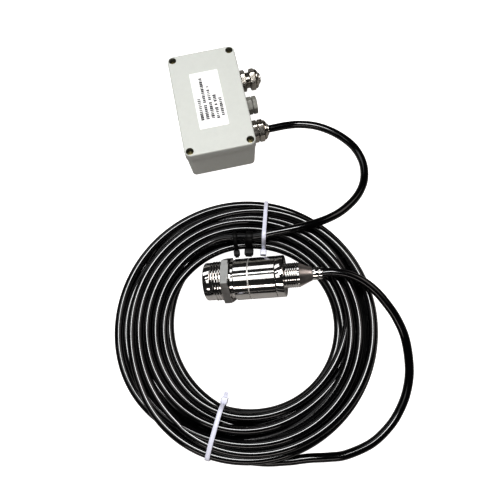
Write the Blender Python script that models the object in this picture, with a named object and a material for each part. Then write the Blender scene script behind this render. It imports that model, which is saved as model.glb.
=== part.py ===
"""Threaded ultrasonic distance probe with its coiled cable and its junction box.

Metres, +Z up. The origin is the centre of the junction box's back face, which lies on the floor.
+X points out of the wall that carries the cable glands, +Y runs along the box and +Z out of its lid.
"""

import math

import bmesh
import bpy
from mathutils import Matrix, Vector

MM = 0.001
GAP = 0.3 * MM  # clearance between pieces that touch on the real object
OVERRUN = 5 * MM  # how far a cutter runs past the face that it opens
CORNER_SHARE = 0.565  # corner radius of a slightly rounded hexagon, over its width across flats
HEX_CHAMFER = 0.6 * MM

# Junction box
BOX_WIDTH = 65 * MM
BOX_LENGTH = 110 * MM
BOX_HEIGHT = 40 * MM
BASE_HEIGHT = 30 * MM
BOX_CORNER_RADIUS = 6 * MM
LID_OVERHANG = 0.5 * MM
BASE_DRAFT = 1.4 * MM
WALL = 3.0 * MM
FLOOR_THICKNESS = 2.5 * MM
LID_TOP_THICKNESS = 2.6 * MM
LID_EDGE_BREAK = 0.8 * MM
POST_RADIUS = 6.2 * MM
SCREW_EDGE_DISTANCE = 5.0 * MM

# Lid screws and their brass inserts
WELL_RADIUS = 3.4 * MM
WELL_DEPTH = 6.0 * MM
SCREW_HEAD_RADIUS = 2.9 * MM
SCREW_HEAD_HEIGHT = 2.4 * MM
SCREW_RADIUS = 1.5 * MM
SCREW_LENGTH = 15 * MM
INSERT_WALL = 0.8 * MM
INSERT_LENGTH = 12 * MM

# Lid gasket
GASKET_WIDTH = 1.0 * MM
GASKET_HEIGHT = 1.2 * MM
GASKET_SETBACK = 0.6 * MM

# Label
LABEL_WIDTH = 27 * MM
LABEL_LENGTH = 61.5 * MM
LABEL_THICKNESS = 0.2 * MM
LABEL_OFFSET_X = -1.2 * MM

# Circuit board and terminal block
BOARD_WIDTH = 40 * MM
BOARD_LENGTH = 84 * MM
BOARD_THICKNESS = 1.6 * MM
BOARD_CENTRE_X = -6 * MM
STANDOFF_HEIGHT = 3 * MM
STANDOFF_RADIUS = 2.5 * MM
TERMINAL_SIZE = Vector((9, 30, 10)) * MM
TERMINAL_CENTRE = Vector((8, -26, 0)) * MM
WIRE_RADIUS = 0.7 * MM
WIRE_SPACING = 1.9 * MM
TERMINAL_PITCH = 6 * MM

# Glands and vent, on the +X wall
GLAND_HEIGHT = 16 * MM
GLAND_PITCH = 29.5 * MM
GLAND_ROW_CENTRE = 1.0 * MM
PAD_RADIUS = 11.6 * MM
GLAND_THREAD_RADIUS = 7.9 * MM
GLAND_THREAD_LENGTH = 8.5 * MM
GLAND_FLATS = 18.5 * MM
GLAND_FLANGE = 4.6 * MM
GLAND_SPIGOT_RADIUS = 7.6 * MM
GLAND_SPIGOT_LENGTH = 6.4 * MM
GLAND_SPIGOT_WALL = 0.9 * MM
CLAW_SEAT_DEPTH = 2.2 * MM
GLAND_BORE_RADIUS = 5.2 * MM
CLAW_WALL = 1.7 * MM
SEAL_LEAST_WALL = 0.4 * MM
CLAW_LENGTH = 9.6 * MM
CLAW_TAPER_LENGTH = 2.4 * MM
NUT_HEX_LENGTH = 5.6 * MM
NUT_DOME_LENGTH = 4.2 * MM
NUT_MOUTH_RADIUS = 4.9 * MM
NUT_TRAVEL = 4 * MM
PLUG_HEAD_RADIUS = 4.4 * MM
PLUG_HEAD_HEIGHT = 1.5 * MM
WASHER_THICKNESS = 1.3 * MM
WASHER_RADIUS = 10 * MM
LOCK_NUT_FLATS = 21 * MM
LOCK_NUT_THICKNESS = 3 * MM
VENT_FLATS = 15 * MM
VENT_BODY_LENGTH = 5.2 * MM
VENT_CAP_LENGTH = 4.4 * MM
VENT_THREAD_RADIUS = 5.9 * MM
VENT_THREAD_LENGTH = 8 * MM
VENT_BORE_RADIUS = 3 * MM
VENT_RECESS_DEPTH = 1.2 * MM
VENT_RIM = 2 * MM
VENT_LOCK_NUT_FLATS = 16 * MM

# Cable, its coil and its ties
CABLE_DIAMETER = 7 * MM
COIL_CENTRE = Vector((-10.9, -204.5, 0)) * MM
COIL_OUTER_RADIUS = 110 * MM
COIL_OPENING_RADIUS = 66.2 * MM
COIL_OPENING_SHIFT = 8.7 * MM
COIL_OPENING_HEADING = math.radians(-23.6)
COIL_SECTION_AREA = 850 * MM * MM
COIL_FILL = 0.86
COIL_ROUNDNESS = 2.6
COIL_CLEARANCE = 2.4 * MM
TIE_THICKNESS = 1.2 * MM
TIE_SLACK = 0.12  # of a strap's width, for the coil's taper under it
# name, angle about the coil, strap width, head size, tail length, material
TIES = (
    ("cable_tie_top", 66, 3.6 * MM, 5.4 * MM, 0.0, "tie_white"),
    ("cable_tie_bottom", 243.5, 3.8 * MM, 5.4 * MM, 4 * MM, "tie_white"),
    ("cable_tie_probe_left", 84.5, 3.6 * MM, 4.6 * MM, 2 * MM, "tie_black"),
    ("cable_tie_probe_right", 74.5, 6.0 * MM, 5.4 * MM, 2 * MM, "tie_black"),
)

# The two free stretches of cable: points along the centre line, in millimetres
BOX_LEAD = (
    (22, -28.5, 16), (40, -28.5, 16), (57, -28.5, 16), (66, -28.6, 16), (79.3, -30.4, 16),
    (94.9, -37, 17), (109.6, -49.2, 18), (119.9, -65.1, 20), (123.6, -81.4, 22),
    (122, -96, 24), (116, -109.6, 26.4), (105.7, -121.2, 28.6), (91.5, -130.4, 30.3),
    (78, -135.2, 31.2), (61.6, -137.6, 31.4), (43.2, -138, 31), (26.5, -137.4, 30.2),
)
PROBE_LEAD = (
    (79, -187.4, 35), (89.2, -194.9, 34.6), (97.5, -204.6, 33), (103.6, -215.4, 30.6),
    (109.6, -229.4, 26.6), (113.2, -246.6, 20.5), (111.6, -268.4, 13), (106, -284.4, 8),
    (97.4, -297, 5), (85.7, -307.8, 3.8), (67.9, -317.3, 3.8), (46.7, -321.3, 3.8),
    (33.3, -320.4, 3.8), (15, -317.4, 3.8),
)
LEAD_STEP = 2.4 * CABLE_DIAMETER

# Probe: lengths along its axis, from the sensing end
RIM_LENGTH = 6.4 * MM
RIM_RADIUS = 16.0 * MM
NOSE_THREAD_LENGTH = 9.2 * MM
NOSE_THREAD_RADIUS = 16.6 * MM
HEX_THICKNESS = 7.3 * MM
HEX_FLATS = 36 * MM
HEX_CORNER_RADIUS = 20.3 * MM
NECK_LENGTH = 2.6 * MM
NECK_RADIUS = 15.4 * MM
BODY_RADIUS = 17.3 * MM
BODY_LENGTH = 34.5 * MM
GROOVE_POSITION = 12 * MM
GROOVE_WIDTH = 1.0 * MM
GROOVE_DEPTH = 0.5 * MM
TAIL_CAP_LENGTH = 6.6 * MM
TAIL_THREAD_LENGTH = 12.5 * MM
TAIL_THREAD_RADIUS = 10.5 * MM
CONE_LENGTH = 10 * MM
FERRULE_RADIUS = 5.3 * MM
FERRULE_LENGTH = 8.2 * MM
PROBE_WALL = 1.8 * MM
WINDOW_THICKNESS = 2.2 * MM
PIEZO_RADIUS = 11.5 * MM
PIEZO_THICKNESS = 3.4 * MM
BACKING_LENGTH = 8 * MM
SEAL_RING = 1.3 * MM
PROBE_BOARD_WIDTH = 20 * MM
PROBE_BOARD_LENGTH = 26 * MM

# Probe's place: the centre of its hexagon, its heading, its rise towards the cable and its roll
HEX_CENTRE_X = -16.2 * MM
HEX_CENTRE_Y = -167.6 * MM
PROBE_HEADING = math.radians(-10.4)
PROBE_RISE = math.radians(10)
PROBE_ROLL = math.radians(-9)

# Distances along the probe that follow from the lengths
THREAD_START = RIM_LENGTH
HEX_START = THREAD_START + NOSE_THREAD_LENGTH
HEX_END = HEX_START + HEX_THICKNESS
NOSE_END = HEX_END + NECK_LENGTH
BODY_START = NOSE_END + GAP
BODY_END = BODY_START + BODY_LENGTH
TAIL_START = BODY_END + GAP
TAIL_FACE = TAIL_START + TAIL_CAP_LENGTH
CONE_START = TAIL_FACE + TAIL_THREAD_LENGTH
CONE_END = CONE_START + CONE_LENGTH
FERRULE_START = CONE_END + GAP
PROBE_END = FERRULE_START + FERRULE_LENGTH

CABLE_BORE = CABLE_DIAMETER / 2 + 0.35 * MM
MATERIALS = {
    "box_grey": ((0.70, 0.72, 0.67), 0.0, 0.5),
    "label_white": ((0.85, 0.85, 0.84), 0.0, 0.55),
    "gasket_rubber": ((0.03, 0.03, 0.03), 0.0, 0.8),
    "screw_brass": ((0.42, 0.36, 0.2), 1.0, 0.35),
    "insert_brass": ((0.72, 0.55, 0.26), 1.0, 0.35),
    "board_green": ((0.03, 0.22, 0.09), 0.0, 0.4),
    "terminal_green": ((0.05, 0.35, 0.12), 0.0, 0.4),
    "nickel": ((0.72, 0.70, 0.66), 1.0, 0.22),
    "nylon_white": ((0.8, 0.8, 0.78), 0.0, 0.45),
    "vent_grey": ((0.33, 0.33, 0.31), 0.0, 0.45),
    "membrane_white": ((0.9, 0.9, 0.9), 0.0, 0.7),
    "stainless": ((0.70, 0.70, 0.69), 1.0, 0.14),
    "window_epoxy": ((0.10, 0.11, 0.12), 0.0, 0.4),
    "ceramic_piezo": ((0.62, 0.55, 0.42), 0.0, 0.6),
    "backing_grey": ((0.18, 0.17, 0.16), 0.0, 0.8),
    "cable_black": ((0.012, 0.012, 0.014), 0.0, 0.2),
    "tie_white": ((0.80, 0.80, 0.85), 0.0, 0.4),
    "tie_black": ((0.015, 0.015, 0.015), 0.0, 0.4),
    "wire_brown": ((0.20, 0.08, 0.03), 0.0, 0.4),
    "wire_blue": ((0.03, 0.10, 0.45), 0.0, 0.4),
    "wire_yellow": ((0.75, 0.6, 0.05), 0.0, 0.4),
}


# ---------------------------------------------------------------- tools

def clear_scene():
    for item in list(bpy.data.objects):
        bpy.data.objects.remove(item, do_unlink=True)


def make_materials():
    made = {}
    for name, (colour, metallic, roughness) in MATERIALS.items():
        material = bpy.data.materials.new(name)
        material.use_nodes = True
        shader = material.node_tree.nodes["Principled BSDF"]
        shader.inputs["Base Color"].default_value = (*colour, 1.0)
        shader.inputs["Metallic"].default_value = metallic
        shader.inputs["Roughness"].default_value = roughness
        made[name] = material
    return made


def axis_frame(name, location, rotation=(0, 0, 0)):
    """An empty whose local Z is the axis that its pieces are turned about."""
    empty = bpy.data.objects.new(name, None)
    empty.location = location
    empty.rotation_euler = rotation
    bpy.context.collection.objects.link(empty)
    return empty


def solid(name, vertices, faces, material, parent=None, smooth=True):
    """One closed solid from its vertices and faces, normals outwards."""
    shape = bmesh.new()
    corners = [shape.verts.new(v) for v in vertices]
    for face in faces:
        shape.faces.new([corners[i] for i in face])
    bmesh.ops.recalc_face_normals(shape, faces=shape.faces)
    mesh = bpy.data.meshes.new(name)
    shape.to_mesh(mesh)
    shape.free()
    if smooth:
        mesh.shade_smooth()
        mesh.set_sharp_from_angle(angle=math.radians(35))
    piece = bpy.data.objects.new(name, mesh)
    piece.parent = parent
    bpy.context.collection.objects.link(piece)
    if material:
        mesh.materials.append(bpy.data.materials[material])
    return piece


def lofted(name, rings, material, parent=None, closed=False, smooth=True):
    """Skin equal rings of points; closed joins the last ring to the first, or the ends are capped."""
    count = len(rings[0])
    vertices = [p for ring in rings for p in ring]
    faces = []
    last = len(rings) if closed else len(rings) - 1
    for i in range(last):
        here = i * count
        there = (i + 1) % len(rings) * count
        for k in range(count):
            n = (k + 1) % count
            faces.append((here + k, here + n, there + n, there + k))
    if not closed:
        faces.append(tuple(range(count)))
        faces.append(tuple(range((len(rings) - 1) * count, len(rings) * count)))
    return solid(name, vertices, faces, material, parent, smooth)


def hexagon_radius(half_flats, angle):
    """Distance from the centre to a hexagon's edge, with a corner at angle 0."""
    return half_flats / math.cos(angle % math.radians(60) - math.radians(30))


def turned(name, stations, material, parent=None, sides=24):
    """Turn a closed outline of (radius, height) about local Z.

    A third value makes that station a hexagon: the first is then half its width across flats,
    and the third cuts its corners back to that radius.
    """
    solid_core = stations[0][0] == 0
    rings = []
    for station in stations[1:-1] if solid_core else stations:
        ring = []
        for k in range(sides):
            angle = math.tau * k / sides
            radius = station[0]
            if len(station) == 3:
                radius = min(hexagon_radius(radius, angle), station[2])
            ring.append((radius * math.cos(angle), radius * math.sin(angle), station[1]))
        rings.append(ring)
    return lofted(name, rings, material, parent, closed=not solid_core)


def block(name, low, high, material, parent=None):
    corners = [(x, y, z) for z in (low[2], high[2]) for x, y in
               ((low[0], low[1]), (high[0], low[1]), (high[0], high[1]), (low[0], high[1]))]
    return lofted(name, [corners[:4], corners[4:]], material, parent, smooth=False)


def boolean(piece, other, operation):
    """Cut another shape from a piece, or join it to the piece; the other shape isn't a part."""
    modifier = piece.modifiers.new(operation.lower() + "_" + other.name, "BOOLEAN")
    modifier.operation = operation
    modifier.object = other
    modifier.solver = "EXACT"
    other.hide_render = True
    other.display_type = "WIRE"


def rounded_rectangle(half_width, half_length, radius, height, steps=6):
    points = []
    for quarter, (sx, sy) in enumerate(((1, 1), (-1, 1), (-1, -1), (1, -1))):
        for k in range(steps + 1):
            angle = math.radians(90) * (quarter + k / steps)
            points.append((sx * (half_width - radius) + radius * math.cos(angle),
                           sy * (half_length - radius) + radius * math.sin(angle), height))
    return points


def screw_positions():
    x = BOX_WIDTH / 2 - SCREW_EDGE_DISTANCE
    y = BOX_LENGTH / 2 - SCREW_EDGE_DISTANCE
    return [(x, y), (-x, y), (-x, -y), (x, -y)]


def sealed_outline(outset, height, steps=6):
    """The box's inner outline, stepped in around each screw post; outset moves it outwards."""
    half_x = BOX_WIDTH / 2 - LID_OVERHANG - WALL + outset
    half_y = BOX_LENGTH / 2 - LID_OVERHANG - WALL + outset
    radius = POST_RADIUS - outset
    points = []
    for x, y in screw_positions():
        to_side = math.acos((half_x - abs(x)) / radius)
        to_end = math.asin((half_y - abs(y)) / radius)
        corner = []
        for k in range(steps + 1):
            angle = -to_side - k / steps * (math.pi + to_end - to_side)
            corner.append((abs(x) + radius * math.cos(angle), abs(y) + radius * math.sin(angle)))
        if x * y < 0:
            corner.reverse()
        points += [(math.copysign(px, x), math.copysign(py, y), height) for px, py in corner]
    return points


# ---------------------------------------------------------------- junction box

def box_base():
    top_x = BOX_WIDTH / 2 - LID_OVERHANG
    top_y = BOX_LENGTH / 2 - LID_OVERHANG
    break_in = LID_EDGE_BREAK
    rings = [
        rounded_rectangle(top_x - BASE_DRAFT - break_in, top_y - BASE_DRAFT - break_in,
                          BOX_CORNER_RADIUS - LID_OVERHANG - BASE_DRAFT, 0),
        rounded_rectangle(top_x - BASE_DRAFT, top_y - BASE_DRAFT,
                          BOX_CORNER_RADIUS - LID_OVERHANG, break_in),
        rounded_rectangle(top_x, top_y, BOX_CORNER_RADIUS - LID_OVERHANG, BASE_HEIGHT),
    ]
    base = lofted("box_base", rings, "box_grey")
    pad_height = BASE_DRAFT + WALL / 2
    for frame in wall_frames():
        pad = turned("pad_" + frame.name, [(0, -pad_height), (PAD_RADIUS, -pad_height), (PAD_RADIUS, 0), (0, 0)],
                     None, frame, 32)
        boolean(base, pad, "UNION")
    rings = [sealed_outline(0, FLOOR_THICKNESS), sealed_outline(0, BASE_HEIGHT + OVERRUN)]
    cavity = lofted("box_cavity", rings, None)
    boolean(base, cavity, "DIFFERENCE")
    for x, y in standoff_positions():
        post = axis_frame("standoff_axis", (x, y, FLOOR_THICKNESS))
        bottom = -FLOOR_THICKNESS / 2
        standoff = turned("standoff", [(0, bottom), (STANDOFF_RADIUS, bottom), (STANDOFF_RADIUS, STANDOFF_HEIGHT),
                                       (0, STANDOFF_HEIGHT)], None, post, 12)
        boolean(base, standoff, "UNION")
    bore = SCREW_RADIUS + GAP + INSERT_WALL + GAP
    depth = INSERT_LENGTH + 2 * GAP + 2 * MM
    for n, (x, y) in enumerate(screw_positions()):
        axis = axis_frame(f"insert_axis_{n + 1}", (x, y, BASE_HEIGHT))
        hole = turned("insert_hole", [(0, -depth), (bore, -depth), (bore, MM), (0, MM)], None, axis, 20)
        boolean(base, hole, "DIFFERENCE")
        screw_insert(n + 1, axis)
    through = 3 * WALL + BASE_DRAFT
    for frame, radius in zip(wall_frames(), wall_hole_radii()):
        hole = turned("hole_" + frame.name, [(0, -through), (radius, -through), (radius, MM), (0, MM)],
                      None, frame, 24)
        boolean(base, hole, "DIFFERENCE")


def standoff_positions():
    x = BOARD_WIDTH / 2 - 2 * STANDOFF_RADIUS
    y = BOARD_LENGTH / 2 - 2 * STANDOFF_RADIUS
    return [(BOARD_CENTRE_X + sx * x, sy * y) for sx in (-1, 1) for sy in (-1, 1)]


def screw_insert(number, axis):
    inner = SCREW_RADIUS + GAP
    outer = inner + INSERT_WALL
    low = -GAP - INSERT_LENGTH
    turned(f"screw_insert_{number}", [(inner, low), (outer, low), (outer, -GAP), (inner, -GAP)],
           "insert_brass", axis, 16)


def box_lid():
    low = BASE_HEIGHT + GAP
    top = BOX_HEIGHT
    half_x = BOX_WIDTH / 2
    half_y = BOX_LENGTH / 2
    edge = LID_EDGE_BREAK
    rings = [
        rounded_rectangle(half_x, half_y, BOX_CORNER_RADIUS, low),
        rounded_rectangle(half_x, half_y, BOX_CORNER_RADIUS, top - edge),
        rounded_rectangle(half_x - 0.3 * edge, half_y - 0.3 * edge, BOX_CORNER_RADIUS - 0.3 * edge, top - 0.3 * edge),
        rounded_rectangle(half_x - edge, half_y - edge, BOX_CORNER_RADIUS - edge, top),
    ]
    lid = lofted("box_lid", rings, "box_grey")
    ceiling = BOX_HEIGHT - LID_TOP_THICKNESS
    cavity = lofted("lid_cavity", [sealed_outline(0, low - OVERRUN), sealed_outline(0, ceiling)], None)
    boolean(lid, cavity, "DIFFERENCE")
    inner = GASKET_SETBACK - GAP
    outer = GASKET_SETBACK + GASKET_WIDTH + GAP
    roof = low + GASKET_HEIGHT + GAP
    groove = lofted("gasket_groove", [sealed_outline(inner, low - MM), sealed_outline(outer, low - MM),
                                      sealed_outline(outer, roof), sealed_outline(inner, roof)], None, closed=True)
    boolean(lid, groove, "DIFFERENCE")
    for n, (x, y) in enumerate(screw_positions()):
        axis = axis_frame(f"screw_axis_{n + 1}", (x, y, BOX_HEIGHT))
        clear = SCREW_RADIUS + GAP
        bottom = low - BOX_HEIGHT - MM
        hole = turned("screw_hole", [(0, bottom), (clear, bottom), (clear, -WELL_DEPTH), (WELL_RADIUS, -WELL_DEPTH),
                                     (WELL_RADIUS, MM), (0, MM)], None, axis, 24)
        boolean(lid, hole, "DIFFERENCE")
        lid_screw(n + 1, axis)


def lid_screw(number, axis):
    seat = -WELL_DEPTH + GAP
    head = seat + SCREW_HEAD_HEIGHT
    end = seat - SCREW_LENGTH
    turned(f"lid_screw_{number}", [(0, end), (SCREW_RADIUS * 0.7, end), (SCREW_RADIUS, end + MM),
                                   (SCREW_RADIUS, seat), (SCREW_HEAD_RADIUS, seat),
                                   (SCREW_HEAD_RADIUS, head - 0.5 * MM), (SCREW_HEAD_RADIUS * 0.8, head), (0, head)],
           "screw_brass", axis, 18)


def lid_gasket():
    low = BASE_HEIGHT + GAP
    high = low + GASKET_HEIGHT
    inner = GASKET_SETBACK
    outer = GASKET_SETBACK + GASKET_WIDTH
    lofted("lid_gasket", [sealed_outline(inner, low), sealed_outline(outer, low),
                          sealed_outline(outer, high), sealed_outline(inner, high)], "gasket_rubber", closed=True)


def label():
    low = BOX_HEIGHT + 0.15 * MM
    rings = [rounded_rectangle(LABEL_WIDTH / 2, LABEL_LENGTH / 2, MM, z, 2) for z in (low, low + LABEL_THICKNESS)]
    piece = lofted("label", rings, "label_white", smooth=False)
    piece.location.x = LABEL_OFFSET_X


def circuit_board():
    low = FLOOR_THICKNESS + STANDOFF_HEIGHT + GAP
    block("circuit_board", (BOARD_CENTRE_X - BOARD_WIDTH / 2, -BOARD_LENGTH / 2, low),
          (BOARD_CENTRE_X + BOARD_WIDTH / 2, BOARD_LENGTH / 2, low + BOARD_THICKNESS), "board_green")
    foot = low + BOARD_THICKNESS + GAP
    half = TERMINAL_SIZE / 2
    block("terminal_block", (TERMINAL_CENTRE.x - half.x, TERMINAL_CENTRE.y - half.y, foot),
          (TERMINAL_CENTRE.x + half.x, TERMINAL_CENTRE.y + half.y, foot + TERMINAL_SIZE.z), "terminal_green")


def wires():
    """Conductors from the stripped cable end to the terminal block."""
    start = Vector(BOX_LEAD[0]) * MM
    face = TERMINAL_CENTRE.x + TERMINAL_SIZE.x / 2 + 2 * GAP
    height = FLOOR_THICKNESS + STANDOFF_HEIGHT + BOARD_THICKNESS + 0.6 * TERMINAL_SIZE.z
    for n, colour in enumerate(("wire_brown", "wire_blue", "wire_yellow")):
        leaving = start.y + (n - 1) * WIRE_SPACING
        landing = TERMINAL_CENTRE.y + (n - 1) * TERMINAL_PITCH
        route = [Vector((start.x - GAP, leaving, start.z)), Vector((start.x - 2 * MM, leaving, start.z)),
                 Vector((face + 2 * WIRE_RADIUS, landing, height)), Vector((face, landing, height))]
        tube(colour, smooth_points(route, 1.5 * MM), WIRE_RADIUS, colour, 1)


# ---------------------------------------------------------------- glands and vent

def wall_frames():
    return [item for item in bpy.data.objects if item.name.startswith("wall_axis")]


def wall_hole_radii():
    return [GLAND_THREAD_RADIUS + GAP, VENT_THREAD_RADIUS + GAP, GLAND_THREAD_RADIUS + GAP]


def make_wall_frames():
    """Axes through the +X wall, from +Y to -Y: upper gland, vent, lower gland; local Z points outwards."""
    x = BOX_WIDTH / 2 - LID_OVERHANG
    frames = []
    for n in range(3):
        y = GLAND_ROW_CENTRE + (1 - n) * GLAND_PITCH
        frames.append(axis_frame(f"wall_axis_{n + 1}", (x, y, GLAND_HEIGHT), (0, math.radians(90), 0)))
    return frames


def washer(name, frame, bore, outer):
    high = GAP + WASHER_THICKNESS
    turned(name, [(bore, GAP), (outer, GAP), (outer, high), (bore, high)], "gasket_rubber", frame)


def lock_nut(name, frame, thread_radius, flats):
    high = -BASE_DRAFT - WALL - GAP
    low = high - LOCK_NUT_THICKNESS
    bore = thread_radius + GAP
    corner = CORNER_SHARE * flats
    turned(name, [(bore, low), (flats / 2, low, corner), (flats / 2, high, corner), (bore, high)], "nickel", frame)


def gland(side, frame, opened):
    """A cable gland; opened is how far its nut is backed off from tight."""
    flange = 2 * GAP + WASHER_THICKNESS
    shoulder = flange + GLAND_FLANGE
    top = shoulder + GLAND_SPIGOT_LENGTH
    seat = GLAND_SPIGOT_RADIUS - GLAND_SPIGOT_WALL
    step = flange + CLAW_SEAT_DEPTH
    half = GLAND_FLATS / 2
    corner = CORNER_SHARE * GLAND_FLATS
    washer(f"gland_{side}_washer", frame, GLAND_THREAD_RADIUS + GAP, WASHER_RADIUS)
    lock_nut(f"gland_{side}_lock_nut", frame, GLAND_THREAD_RADIUS, LOCK_NUT_FLATS)
    turned(f"gland_{side}_body", [
        (GLAND_BORE_RADIUS, -GLAND_THREAD_LENGTH), (GLAND_THREAD_RADIUS, -GLAND_THREAD_LENGTH),
        (GLAND_THREAD_RADIUS, flange), (half, flange, half), (half, flange + HEX_CHAMFER, corner),
        (half, shoulder - HEX_CHAMFER, corner), (half, shoulder, half), (GLAND_SPIGOT_RADIUS, shoulder),
        (GLAND_SPIGOT_RADIUS, top), (seat, top), (seat, step), (GLAND_BORE_RADIUS, step)], "nickel", frame)
    nut_axis = axis_frame(f"gland_{side}_nut_axis", (0, 0, opened))
    nut_axis.parent = frame
    claw_radius = seat - GAP
    claw_bore = max(claw_radius - CLAW_WALL, CABLE_BORE + GAP + SEAL_LEAST_WALL)
    claw_low = step + GAP
    claw_high = claw_low + CLAW_LENGTH
    turned(f"gland_{side}_claw", [
        (claw_bore, claw_low), (claw_radius, claw_low), (claw_radius, claw_high - CLAW_TAPER_LENGTH),
        (claw_bore + 0.5 * MM, claw_high), (claw_bore, claw_high)], "nylon_white", nut_axis)
    turned(f"gland_{side}_seal", [
        (CABLE_BORE, claw_low + 0.6 * MM), (claw_bore - GAP, claw_low + 0.6 * MM),
        (claw_bore - GAP, claw_high - 0.8 * MM), (CABLE_BORE, claw_high - 0.8 * MM)], "gasket_rubber", nut_axis)
    foot = shoulder + GAP
    hex_top = foot + NUT_HEX_LENGTH
    dome_top = hex_top + NUT_DOME_LENGTH
    thread = GLAND_SPIGOT_RADIUS + GAP
    mouth = NUT_MOUTH_RADIUS
    dome = [(half * math.cos(a), hex_top + NUT_DOME_LENGTH * math.sin(a))
            for a in (math.radians(d) for d in (0, 20, 40, 55))]
    turned(f"gland_{side}_nut", [
        (thread, foot), (half, foot, half), (half, foot + HEX_CHAMFER, corner), (half, hex_top - HEX_CHAMFER, corner),
        *dome, (mouth + 0.2 * MM, dome_top), (mouth, dome_top), (mouth, dome_top - 1.2 * MM),
        (thread, hex_top + 0.4 * MM)], "nickel", nut_axis)
    return nut_axis, claw_low, dome_top


def blanking_plug(nut_axis, low, high):
    shank = CABLE_DIAMETER / 2
    head = PLUG_HEAD_RADIUS
    top = high + PLUG_HEAD_HEIGHT
    turned("blanking_plug", [
        (0, low), (shank, low), (shank, high - 1.2 * MM), (head, high - MM), (head, high + 0.3 * MM),
        (0.8 * head, high + 1.1 * MM), (0.4 * head, top), (0, top)], "nylon_white", nut_axis, 20)


def vent(frame):
    half = VENT_FLATS / 2
    corner = CORNER_SHARE * VENT_FLATS
    flange = 2 * GAP + WASHER_THICKNESS
    top = flange + VENT_BODY_LENGTH
    recess = top - VENT_RECESS_DEPTH
    recess_radius = half - VENT_RIM
    washer("vent_washer", frame, VENT_THREAD_RADIUS + GAP, half - 0.2 * MM)
    lock_nut("vent_lock_nut", frame, VENT_THREAD_RADIUS, VENT_LOCK_NUT_FLATS)
    turned("vent_body", [
        (VENT_BORE_RADIUS, -VENT_THREAD_LENGTH), (VENT_THREAD_RADIUS, -VENT_THREAD_LENGTH),
        (VENT_THREAD_RADIUS, flange), (half, flange, corner), (half, top, corner), (recess_radius, top),
        (recess_radius, recess), (VENT_BORE_RADIUS, recess)], "vent_grey", frame)
    turned("vent_membrane", [
        (0, recess + GAP), (recess_radius - GAP, recess + GAP), (recess_radius - GAP, top - GAP), (0, top - GAP)],
        "membrane_white", frame, 20)
    low = top + GAP
    high = low + VENT_CAP_LENGTH
    turned("vent_cap", [
        (0, low), (half, low, corner), (half, high - 0.8 * MM, corner), (half - 0.8 * MM, high), (0, high)],
        "vent_grey", frame)


# ---------------------------------------------------------------- probe

def probe_rest_height():
    """Height of the hexagon's centre with the probe's lowest corner on the floor."""
    centre = (HEX_START + HEX_END) / 2
    rim = RIM_RADIUS * math.cos(PROBE_RISE) + centre * math.sin(PROBE_RISE)
    reach = max(HEX_FLATS / 2 / math.cos(math.radians(30)) * math.cos(math.radians(60 * k + 30) + PROBE_ROLL)
                for k in range(6))
    hexagon = reach * math.cos(PROBE_RISE) + HEX_THICKNESS / 2 * math.sin(PROBE_RISE)
    return max(rim, hexagon)


def probe_direction():
    flat = math.cos(PROBE_RISE)
    return Vector((flat * math.cos(PROBE_HEADING), flat * math.sin(PROBE_HEADING), math.sin(PROBE_RISE)))


def probe_point(distance):
    """A point on the probe's axis, at a distance from its sensing end."""
    centre = Vector((HEX_CENTRE_X, HEX_CENTRE_Y, probe_rest_height()))
    return centre + (distance - (HEX_START + HEX_END) / 2) * probe_direction()


def probe_frame():
    """The probe's axis: local Z runs from the sensing end to the cable."""
    frame = axis_frame("probe_axis", probe_point(0))
    turn = probe_direction().to_track_quat("Z", "X").to_matrix()
    upright = turn.inverted() @ Vector((0, 0, 1))
    spin = math.atan2(upright.y, upright.x) + math.radians(30) + PROBE_ROLL
    frame.rotation_euler = (turn.to_4x4() @ Matrix.Rotation(spin, 4, "Z")).to_euler()
    return frame


def probe_nose(frame):
    bore = RIM_RADIUS - PROBE_WALL
    lip = bore - 1.4 * MM
    half = HEX_FLATS / 2
    turned("probe_nose", [
        (lip, 0), (RIM_RADIUS - 0.6 * MM, 0), (RIM_RADIUS, 0.6 * MM), (RIM_RADIUS, THREAD_START),
        (NOSE_THREAD_RADIUS, THREAD_START), (NOSE_THREAD_RADIUS, HEX_START),
        (half, HEX_START, half), (half, HEX_START + 0.8 * MM, HEX_CORNER_RADIUS + 0.5 * MM),
        (half, HEX_END - 0.8 * MM, HEX_CORNER_RADIUS + 0.5 * MM), (half, HEX_END, half),
        (NECK_RADIUS, HEX_END), (NECK_RADIUS, NOSE_END), (bore - 2 * SEAL_RING, NOSE_END),
        (bore - 2 * SEAL_RING, HEX_START), (bore, HEX_START), (bore, 1.2 * MM), (lip, 1.2 * MM)],
        "stainless", frame, 36)
    # what the nose holds, from the lip inwards
    clear = bore - GAP
    low = 1.2 * MM + GAP
    high = low + WINDOW_THICKNESS
    turned("sensing_window", [(0, low), (clear, low), (clear, high), (0, high)], "window_epoxy", frame, 32)
    ring_low = high + GAP
    ring_high = ring_low + SEAL_RING
    turned("window_seal", [(clear - 2 * SEAL_RING, ring_low), (clear, ring_low), (clear, ring_high),
                           (clear - 2 * SEAL_RING, ring_high)], "gasket_rubber", frame, 20)
    disc_high = ring_low + PIEZO_THICKNESS
    turned("piezo_disc", [(0, ring_low), (min(PIEZO_RADIUS, clear - 2 * SEAL_RING - GAP), ring_low),
                          (min(PIEZO_RADIUS, clear - 2 * SEAL_RING - GAP), disc_high), (0, disc_high)],
           "ceramic_piezo", frame, 20)
    block_low = disc_high + GAP
    block_high = min(block_low + BACKING_LENGTH, HEX_START - GAP)
    turned("backing_block", [(0, block_low), (clear, block_low), (clear, block_high), (0, block_high)],
           "backing_grey", frame, 24)


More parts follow.
